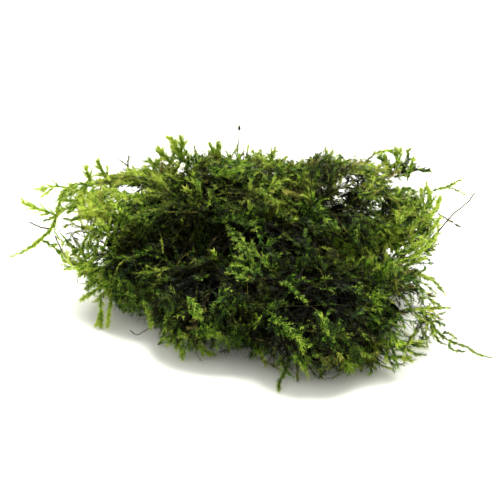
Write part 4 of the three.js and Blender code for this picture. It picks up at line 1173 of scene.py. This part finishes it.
def lay_frond(wires, route, tone, brown, size, branch, rng):
    """A frond along a route, with side branches in its plane, longest below its middle."""
    line = smooth_route(route, FROND_STEP)
    along = np.linspace(0, 1, len(line))
    facing = unit(np.array(FROND_FACING) + rng.normal(0, FROND_TILT, 3))
    wires.add(line, facing * np.ones((len(line), 1)), tone + FROND_TONE + FROND_TONE_RISE * along, brown,
              size * np.interp(along, *FROND_TAPER))
    if not branch:
        return
    turn = rng.choice([-1, 1])
    index = 1
    while index < len(line) - 1:
        tangent = unit(line[index + 1] - line[index - 1])
        angle = math.radians(rng.uniform(*TWIG_ANGLE))
        heading = math.cos(angle) * tangent + turn * math.sin(angle) * unit(np.cross(facing, tangent))
        reach = branch * np.interp(along[index], *TWIG_LENGTHS) * rng.uniform(*TWIG_LENGTH_SPREAD)
        t = np.linspace(0, 1, max(3, round(reach / TWIG_STEP) + 1))[:, None]
        curl = heading + TWIG_CURL * t * tangent + rng.normal(0, TWIG_SCATTER, 3)
        twig = line[index] + reach * t * unit(curl)
        own = tone + rng.normal(0, TWIG_TONE_SPREAD)
        leaning = unit(facing + rng.normal(0, TWIG_TILT, 3))
        wires.add(twig, leaning * np.ones((len(t), 1)), own + TWIG_TONE + FROND_TONE_RISE * t[:, 0], brown,
                  rng.uniform(*TWIG_SIZE) * size * np.interp(t[:, 0], *TWIG_TAPER))
        turn = -turn
        index += 1 + (rng.random() < TWIG_SKIPPED)


def surface_area(radii):
    """The area of an ellipsoid, to about 1%."""
    power = 1.6
    a, b, c = radii
    mean = ((a * b) ** power + (a * c) ** power + (b * c) ** power) / 3
    return 4 * math.pi * mean ** (1 / power)


def habit_wires(wires, name, habit, area, shape, rng):
    """The shoots of one habit on one tuft, with their side branches."""
    count = int(area * shape.shoots_per_area * THINNER.get(name, 1) * habit["share"])
    roots = rooted(name, count, rng)
    distance, outward = skin(roots)
    thin = THIN_PATCH_MEAN + THIN_PATCH_SWING * patches(roots, THIN_PATCH_SIZE, phase=4.4)
    growing = zone_shifts(roots)[2] * np.clip(thin, THIN_PATCH_LEAST, 1)
    if habit in (HABITS["strand"], HABITS["hair"]):
        growing = 1.0
    keep = (distance > DEEPEST_ROOT) & (roots[:, 2] > LOWEST_ROOT) & (rng.random(count) < growing)
    keep &= outward[:, 2] > UNDERSIDE
    roots, outward = roots[keep], outward[keep]
    count = len(roots)
    if not count:
        return
    airy = AIRY.get(name, 0.0)
    sideways = unit(np.cross(outward, unit(rng.normal(0, 1, (count, 3)))))
    headings = habit["rise"] * outward + flow(roots, outward, SWEEP.get(name)) + START_SIDEWAYS * sideways
    headings += START_SCATTER * rng.normal(0, 1, (count, 3))
    length = shape.shoot_length / MM * habit["length"] * rng.uniform(*LENGTH_SPREAD, count)
    steps = np.maximum(FEWEST_STEPS, np.round(length / SHOOT_STEP)).astype(int)
    bright = rng.random(count) < BRIGHT_SHARE
    height = rng.uniform(*habit["height"], count) + rng.uniform(0, airy, count)
    height += np.where(bright, BRIGHT_HEIGHT, 0)
    paths, ways = creep(roots, headings, int(steps.max()), height, np.full(count, habit["pull"]),
                        np.full(count, habit["droop"]), rng)
    dead = rng.random(count) < DEAD_SHARE
    light = rng.normal(habit["light"] + LIGHT_SHIFT, LIGHT_SPREAD, count)
    dry = rng.normal(habit["dry"], DRY_SPREAD, count)
    size = rng.uniform(*habit["size"], count)
    traits = {
        "light": light + np.where(bright, BRIGHT_LIGHT, 0),
        "dry": dry + np.where(dead, DEAD_DRY, 0),
        "size": size * np.where(bright, BRIGHT_SIZE, 1) * (1 + AIRY_GROWTH * airy),
        "leafy": np.full(count, habit["leafy"]),
        "stray": np.full(count, airy)}
    dress(wires, paths, ways, steps, traits, rng)
    branched = (rng.random(count) < habit["branched"]) & (steps > UNBRANCHED_STEPS)
    side_branches(wires, paths, ways, steps, traits, branched, rng)


def tuft_wires(name, shape, rng):
    """All the shoots of one tuft: its traced fronds, then those of each habit."""
    wires = Wires()
    for tone, brown, size, branch, height, points in FRONDS.get(name, []):
        lay_frond(wires, traced_route(points, height), tone, brown, size, branch, rng)
    area = surface_area(TUFTS[name][1])
    for habit in HABITS.values():
        habit_wires(wires, name, habit, area, shape, rng)
    return wires


def leaf_pair(name, shape, left_turn, right_turn, lift):
    """Two pointed leaves, one on each side of the stem, which runs along X. The attribute rise
    goes from 0 at the stem to 1 at the tip."""
    points = []
    faces = []
    rises = []
    for side, turn in ((1, left_turn), (-1, right_turn)):
        first = len(points)
        for along, across, rise in LEAF_CORNERS:
            x = along * shape.leaf_length
            y = across * shape.leaf_width
            z = lift * along * shape.leaf_length
            cos_turn = math.cos(side * turn)
            sin_turn = math.sin(side * turn)
            points.append((x * cos_turn - y * sin_turn, x * sin_turn + y * cos_turn, z))
            rises.append(rise)
        faces.append((first, first + 1, first + 2))
    mesh = bpy.data.meshes.new(name)
    mesh.from_pydata(points, [], faces)
    mesh.attributes.new("rise", "FLOAT", "POINT").data.foreach_set("value", rises)
    pair = bpy.data.objects.new(name, mesh)
    bpy.context.scene.collection.objects.link(pair)
    return pair


def shoot_tree(with_leaves):
    """The node tree that turns stem lines into stems, with leaf pairs along them if it has leaves."""
    tree = bpy.data.node_groups.new("leafy_shoots" if with_leaves else "bare_stems", "GeometryNodeTree")
    kinds = {"Geometry": "Geometry", "Stem Radius": "Float", "Stem Step": "Float", "Material": "Material"}
    if with_leaves:
        kinds.update({"Leaf Spacing": "Float", "Leaf Disorder": "Float", "Seed": "Int"})
        kinds.update({"Leaf Pair " + letter: "Object" for letter in LEAF_PAIRS})
    for name, kind in kinds.items():
        tree.interface.new_socket(name, in_out="INPUT", socket_type="NodeSocket" + kind)
    tree.interface.new_socket("Geometry", in_out="OUTPUT", socket_type="NodeSocketGeometry")
    given = add_node(tree, "NodeGroupInput").outputs
    lines = add_node(tree, "GeometryNodeMeshToCurve", links={"Mesh": given["Geometry"]}).outputs["Curve"]
    coarse = add_node(tree, "GeometryNodeResampleCurve", {"mode": "LENGTH"},
                      {"Curve": lines, "Length": given["Stem Step"]})
    progress = add_node(tree, "GeometryNodeSplineParameter").outputs["Factor"]
    taper = add_node(tree, "ShaderNodeMapRange", links={
        "Value": progress, "To Min": 1.0, "To Max": STEM_END if with_leaves else BARE_STEM_END})
    size = add_node(tree, "GeometryNodeInputNamedAttribute", {"data_type": "FLOAT"}, {"Name": "size"})
    thickness = add_node(tree, "ShaderNodeMath", {"operation": "MULTIPLY"},
                         {0: taper.outputs["Result"], 1: size.outputs["Attribute"]})
    section = add_node(tree, "GeometryNodeCurvePrimitiveCircle", {"mode": "RADIUS"}, {
        "Resolution": STEM_SIDES if with_leaves else BARE_STEM_SIDES, "Radius": given["Stem Radius"]})
    stems = add_node(tree, "GeometryNodeCurveToMesh", links={
        "Curve": coarse.outputs["Curve"], "Profile Curve": section.outputs["Curve"],
        "Scale": thickness.outputs["Value"], "Fill Caps": True})
    parts = stems.outputs["Mesh"]
    if with_leaves:
        parts = add_leaves(tree, given, lines, size.outputs["Attribute"], parts)
    real = add_node(tree, "GeometryNodeRealizeInstances", links={"Geometry": parts})
    dressed = add_node(tree, "GeometryNodeSetMaterial", links={
        "Geometry": real.outputs["Geometry"], "Material": given["Material"]})
    add_node(tree, "NodeGroupOutput", links={"Geometry": dressed.outputs["Geometry"]})
    return tree


def add_leaves(tree, given, lines, size, stems):
    """Sets leaf pairs along the lines, and returns them joined with the stems. Each pair looks the
    way that its stem faces, give or take the leaf disorder, and is a little lighter or darker than
    the stem's tone says."""
    fine = add_node(tree, "GeometryNodeResampleCurve", {"mode": "LENGTH"},
                    {"Curve": lines, "Length": given["Leaf Spacing"]})
    facing = add_node(tree, "GeometryNodeInputNamedAttribute", {"data_type": "FLOAT_VECTOR"},
                      {"Name": "facing"})
    tangent = add_node(tree, "GeometryNodeInputTangent")
    random_way = add_node(tree, "FunctionNodeRandomValue", {"data_type": "FLOAT_VECTOR"}, {
        "Min": (-1, -1, -1), "Max": (1, 1, 1), "Seed": given["Seed"]})
    disorder = add_node(tree, "ShaderNodeVectorMath", {"operation": "SCALE"}, {
        0: random_way.outputs["Value"], "Scale": given["Leaf Disorder"]})
    turned = add_node(tree, "ShaderNodeVectorMath", {"operation": "ADD"},
                      {0: facing.outputs["Attribute"], 1: disorder.outputs["Vector"]})
    rotation = add_node(tree, "FunctionNodeAxesToRotation", {"primary_axis": "X", "secondary_axis": "Z"}, {
        "Primary Axis": tangent.outputs["Tangent"], "Secondary Axis": turned.outputs["Vector"]})
    pairs = add_node(tree, "GeometryNodeJoinGeometry")
    for letter in LEAF_PAIRS:
        source = add_node(tree, "GeometryNodeObjectInfo", links={
            "Object": given["Leaf Pair " + letter], "As Instance": True})
        tree.links.new(source.outputs["Geometry"], pairs.inputs["Geometry"])
    choice = add_node(tree, "FunctionNodeRandomValue", {"data_type": "INT"}, {
        "Min": 0, "Max": len(LEAF_PAIRS) - 1, "Seed": given["Seed"]})
    spread = add_node(tree, "FunctionNodeRandomValue", {"data_type": "FLOAT"}, {
        "Min": LEAF_SIZE_SPREAD[0], "Max": LEAF_SIZE_SPREAD[1], "Seed": given["Seed"]})
    scale = add_node(tree, "ShaderNodeMath", {"operation": "MULTIPLY"},
                     {0: size, 1: spread.outputs["Value"]})
    leafy = add_node(tree, "GeometryNodeInputNamedAttribute", {"data_type": "FLOAT"}, {"Name": "leafy"})
    bearing = add_node(tree, "FunctionNodeCompare", {"data_type": "FLOAT", "operation": "GREATER_THAN"},
                       {0: leafy.outputs["Attribute"], 1: 0.5})
    leaves = add_node(tree, "GeometryNodeInstanceOnPoints", links={
        "Points": fine.outputs["Curve"], "Selection": bearing.outputs["Result"],
        "Instance": pairs.outputs["Geometry"], "Pick Instance": True,
        "Instance Index": choice.outputs["Value"], "Rotation": rotation.outputs["Rotation"],
        "Scale": scale.outputs["Value"]})
    own_light = add_node(tree, "FunctionNodeRandomValue", {"data_type": "FLOAT"}, {
        "Min": -LEAF_TONE_SPREAD, "Max": LEAF_TONE_SPREAD, "Seed": given["Seed"]})
    lit = add_node(tree, "GeometryNodeStoreNamedAttribute", {"data_type": "FLOAT", "domain": "INSTANCE"}, {
        "Geometry": leaves.outputs["Instances"], "Name": "own_light",
        "Value": own_light.outputs["Value"]})
    both = add_node(tree, "GeometryNodeJoinGeometry", links={"Geometry": stems})
    tree.links.new(lit.outputs["Geometry"], both.inputs["Geometry"])
    return both.outputs["Geometry"]


def run_tree(wire, tree, values, name):
    """Runs a node tree on stem lines and returns the result as a plain mesh object."""
    modifier = wire.modifiers.new("growth", "NODES")
    modifier.node_group = tree
    for item in tree.interface.items_tree:
        if item.in_out == "INPUT" and item.name in values:
            modifier[item.identifier] = values[item.name]
    graph = bpy.context.evaluated_depsgraph_get()
    mesh = bpy.data.meshes.new_from_object(
        wire.evaluated_get(graph), preserve_all_data_layers=True, depsgraph=graph)
    mesh.name = name
    old = wire.data
    bpy.data.objects.remove(wire)
    bpy.data.meshes.remove(old)
    if not mesh.polygons:
        raise RuntimeError(f"{name} came out empty")
    piece = bpy.data.objects.new(name, mesh)
    bpy.context.scene.collection.objects.link(piece)
    return piece


def read_values(mesh, name):
    values = np.zeros(len(mesh.vertices), np.float32)
    if name in mesh.attributes:
        mesh.attributes[name].data.foreach_get("value", values)
    return values


def settle_colours(piece):
    """Sums what sets each leaf's colour into tone and brown, and lays the colour map so that its
    axes are those two. Leaves that dip into the table are raised to just over it first."""
    mesh = piece.data
    places = np.zeros(len(mesh.vertices) * 3, np.float32)
    mesh.vertices.foreach_get("co", places)
    places[2::3] = np.maximum(places[2::3], LOWEST_LEAF * MM)
    mesh.vertices.foreach_set("co", places)
    tone = read_values(mesh, "tone") + read_values(mesh, "own_light") + LEAF_TONE
    tone = np.clip(tone + LEAF_TIP_TONE * read_values(mesh, "rise"), *MAP_LIMITS)
    brown = np.clip(read_values(mesh, "brown"), *MAP_LIMITS)
    for name in ("facing", "size", "leafy", "rise", "own_light"):
        if name in mesh.attributes:
            mesh.attributes.remove(mesh.attributes[name])
    mesh.attributes["tone"].data.foreach_set("value", tone.astype(np.float32))
    mesh.attributes["brown"].data.foreach_set("value", brown.astype(np.float32))
    corners = np.zeros(len(mesh.loops), np.int32)
    mesh.loops.foreach_get("vertex_index", corners)
    square = np.array([(0, 0), (MAP_SPREAD, 0), (0, MAP_SPREAD), (MAP_SPREAD, MAP_SPREAD)])
    spread = square[np.arange(len(corners)) % 4]
    places = np.stack([tone[corners], brown[corners]], 1) * MAP_SHARE + spread
    layer = mesh.uv_layers.new(name="OFBake")
    layer.data.foreach_set("uv", places.astype(np.float32).ravel())


def finish_piece(piece, slot, *nodes):
    """Hands a piece to the frame in place of its solids."""
    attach(piece, "root")
    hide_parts(*nodes)


def leafy_piece(context, wires, name, disorder=LEAF_DISORDER, closeness=1.0, thickness=1.0):
    """Leaves the stem lines and makes them one piece. disorder says how much leaf pairs differ in
    the way they face, closeness how close they sit, and thickness how thick the stem is."""
    shape = context.scene.moss_shape
    pairs = {}
    for letter, (left, right, lift) in LEAF_PAIRS.items():
        pairs["Leaf Pair " + letter] = leaf_pair(
            "leaf_pair_" + letter.lower(), shape, left * shape.leaf_angle, right * shape.leaf_angle, lift)
    tree = bpy.data.node_groups.get("leafy_shoots") or shoot_tree(True)
    material = bpy.data.materials.get("damp_moss_leaf") or moss_leaf_material(context.scene.moss_colours)
    values = {
        "Stem Radius": thickness * shape.stem_radius, "Stem Step": STEM_STEP * MM, "Material": material,
        "Leaf Spacing": shape.leaf_spacing / closeness, "Leaf Disorder": disorder, "Seed": shape.seed,
        **pairs}
    piece = run_tree(wires.to_object(name + "_lines"), tree, values, name)
    for pair in pairs.values():
        mesh = pair.data
        bpy.data.objects.remove(pair)
        bpy.data.meshes.remove(mesh)
    settle_colours(piece)
    return piece


class MOSS_OT_inner_tangle(bpy.types.Operator):
    """Builds the dark old tangle that the shoots grow from; its near-black is also a painted shade
    inside the clump.
    """
    bl_idname = "moss.inner_tangle"
    bl_label = "Inner Tangle"

    def execute(self, context):
        shape = context.scene.moss_shape
        body = bmesh.new()
        for index, (name, (centre, radii)) in enumerate(TUFTS.items()):
            radii = np.array(radii) * FULLER.get(name, shape.tangle_share)
            ball = bmesh.ops.create_icosphere(body, subdivisions=4, radius=1)["verts"]
            directions = np.array([v.co for v in ball])
            places = directions * radii + np.array(centre)
            swell = (1 + TANGLE_SWELL * patches(places, TANGLE_SWELL_SIZE, phase=index)
                     + TANGLE_LUMPS * patches(places, TANGLE_LUMP_SIZE, phase=index + 0.5))
            places = directions * radii * swell[:, None] + np.array(centre)
            places[:, 2] = np.maximum(places[:, 2], TANGLE_FLOOR)
            for vertex, place in zip(ball, places):
                vertex.co = Vector(place) * MM
        mesh = bpy.data.meshes.new("inner_tangle")
        body.to_mesh(mesh)
        body.free()
        piece = bpy.data.objects.new("inner_tangle", mesh)
        context.scene.collection.objects.link(piece)
        mesh.materials.append(old_tangle_material())
        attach(piece, "root")
        return {"FINISHED"}


class MOSS_OT_tufts(bpy.types.Operator):
    """Grows the leafy shoots of every tuft."""
    bl_idname = "moss.tufts"
    bl_label = "Tufts"

    def execute(self, context):
        shape = context.scene.moss_shape
        for index, name in enumerate(TUFTS):
            rng = np.random.default_rng([shape.seed, index])
            wires = tuft_wires(name, shape, rng)
            piece = leafy_piece(context, wires, name + "_shoots")
            finish_piece(piece, "old_tangle" if name == "base_mat" else "leafy_moss", name)
        return {"FINISHED"}


class MOSS_OT_loose_shoots(bpy.types.Operator):
    """Grows the leafy shoots that stand clear of the tangle, each along its own route."""
    bl_idname = "moss.loose_shoots"
    bl_label = "Loose Shoots"

    def execute(self, context):
        shape = context.scene.moss_shape
        for index, (name, (tone, brown, size, branch, routes)) in enumerate(LEAFY_SHOOTS.items()):
            rng = np.random.default_rng([shape.seed, LOOSE_SEED + index])
            wires = Wires()
            for route in routes:
                lay_frond(wires, route, tone, brown, size, branch, rng)
            piece = leafy_piece(context, wires, name + "_leaves", disorder=0.4, closeness=1.1,
                                thickness=1.2)
            finish_piece(piece, "leafy_moss", name)
        return {"FINISHED"}


class MOSS_OT_bare_stems(bpy.types.Operator):
    """Lays the bare brown stems, and sets the spore capsule on its stalk."""
    bl_idname = "moss.bare_stems"
    bl_label = "Bare Stems"

    def execute(self, context):
        shape = context.scene.moss_shape
        values = {"Stem Radius": shape.bare_stem_radius, "Stem Step": BARE_STEM_STEP * MM,
                  "Material": bare_stem_material(context.scene.moss_colours)}
        tree = shoot_tree(False)
        for name, (size, route) in BARE_STEMS.items():
            line = smooth_route(route, BARE_ROUTE_STEP)
            rng = np.random.default_rng(len(name))
            line[1:-1] += rng.normal(0, BARE_STEM_WANDER, (len(line) - 2, 3))
            wires = Wires()
            wires.add(line, np.tile(UP, (len(line), 1)), BARE_STEM_TONE, BARE_STEM_BROWN, size)
            piece = run_tree(wires.to_object(name + "_line"), tree, values, name + "_bark")
            if name == "capsule_stalk":
                self.add_capsule(piece)
            finish_piece(piece, "bare_stem", name)
        return {"FINISHED"}

    def add_capsule(self, piece):
        """A narrow egg with a beak, as the capsule of a moss is."""
        body = bmesh.new()
        body.from_mesh(piece.data)
        ball = bmesh.ops.create_icosphere(body, subdivisions=3, radius=1)["verts"]
        for vertex in ball:
            beak = 1 + CAPSULE_BEAK * max(0.0, vertex.co.z) ** BEAK_SHARPNESS
            place = [vertex.co[i] * CAPSULE_RADII[i] + CAPSULE_CENTRE[i] for i in range(3)]
            place[2] += (beak - 1) * CAPSULE_RADII[2]
            vertex.co = Vector(place) * MM
        body.to_mesh(piece.data)
        body.free()


class MOSS_OT_stage(bpy.types.Operator):
    """Sets the pale table, the soft light and the camera."""
    bl_idname = "moss.stage"
    bl_label = "Table, Light and Camera"

    def execute(self, context):
        studio = context.scene.moss_studio
        bpy.ops.mesh.primitive_plane_add(size=TABLE_SIZE, location=(0, 0, 0))
        table = context.object
        table.name = "white_table"
        # matt card, so the shadow falls on it without a gloss
        card = bpy.data.materials.new("matt_white_card")
        card.use_nodes = True
        surface = card.node_tree.nodes["Principled BSDF"]
        surface.inputs["Base Color"].default_value = linear(CARD_WHITE)
        surface.inputs["Roughness"].default_value = 0.9
        surface.inputs["Specular IOR Level"].default_value = 0.1
        table.data.materials.append(card)
        world = bpy.data.worlds.new("white_surround")
        world.use_nodes = True
        world.node_tree.nodes["Background"].inputs["Color"].default_value = (1, 1, 1, 1)
        world.node_tree.nodes["Background"].inputs["Strength"].default_value = studio.sky_strength
        context.scene.world = world
        for name, place, width, power in (
                ("key_light", KEY_PLACE, KEY_WIDTH, studio.key_power),
                ("front_fill", FILL_PLACE, FILL_WIDTH, studio.fill_power)):
            lamp = bpy.data.lights.new(name, "SUN")
            lamp.angle = math.radians(width)
            lamp.energy = power
            holder = bpy.data.objects.new(name, lamp)
            holder.location = place
            holder.rotation_euler = (-Vector(place)).to_track_quat("-Z", "Y").to_euler()
            context.scene.collection.objects.link(holder)
        lens = bpy.data.cameras.new("camera")
        lens.lens = LENS
        lens.sensor_width = SENSOR
        camera = bpy.data.objects.new("camera", lens)
        target = Vector(VIEW_TARGET * MM)
        camera.location = target + studio.distance * Vector((
            0, -math.cos(studio.elevation), math.sin(studio.elevation)))
        camera.rotation_euler = (target - camera.location).to_track_quat("-Z", "Y").to_euler()
        context.scene.collection.objects.link(camera)
        context.scene.camera = camera
        context.scene.view_settings.view_transform = "Standard"
        return {"FINISHED"}


class MOSS_PT_panel(bpy.types.Panel):
    bl_label = "Peacock Moss"
    bl_idname = "MOSS_PT_panel"
    bl_space_type = "VIEW_3D"
    bl_region_type = "UI"
    bl_category = "Moss"

    def draw(self, context):
        layout = self.layout
        for settings in (context.scene.moss_shape, context.scene.moss_colours, context.scene.moss_studio):
            for name in settings.__annotations__:
                layout.prop(settings, name)
        for operator in OPERATORS:
            layout.operator(operator.bl_idname)


SETTINGS = {"moss_shape": MossShape, "moss_colours": MossColours, "moss_studio": Studio}
OPERATORS = [MOSS_OT_inner_tangle, MOSS_OT_tufts, MOSS_OT_loose_shoots, MOSS_OT_bare_stems, MOSS_OT_stage]


def register():
    for cls in [*SETTINGS.values(), *OPERATORS, MOSS_PT_panel]:
        bpy.utils.register_class(cls)
    for name, cls in SETTINGS.items():
        setattr(bpy.types.Scene, name, PointerProperty(type=cls))


def unregister():
    for name in SETTINGS:
        delattr(bpy.types.Scene, name)
    for cls in reversed([*SETTINGS.values(), *OPERATORS, MOSS_PT_panel]):
        bpy.utils.unregister_class(cls)


def main():
    register()
    bpy.ops.moss.inner_tangle()
    bpy.ops.moss.tufts()
    bpy.ops.moss.loose_shoots()
    bpy.ops.moss.bare_stems()
    bpy.ops.moss.stage()


if __name__ == "__main__":
    main()
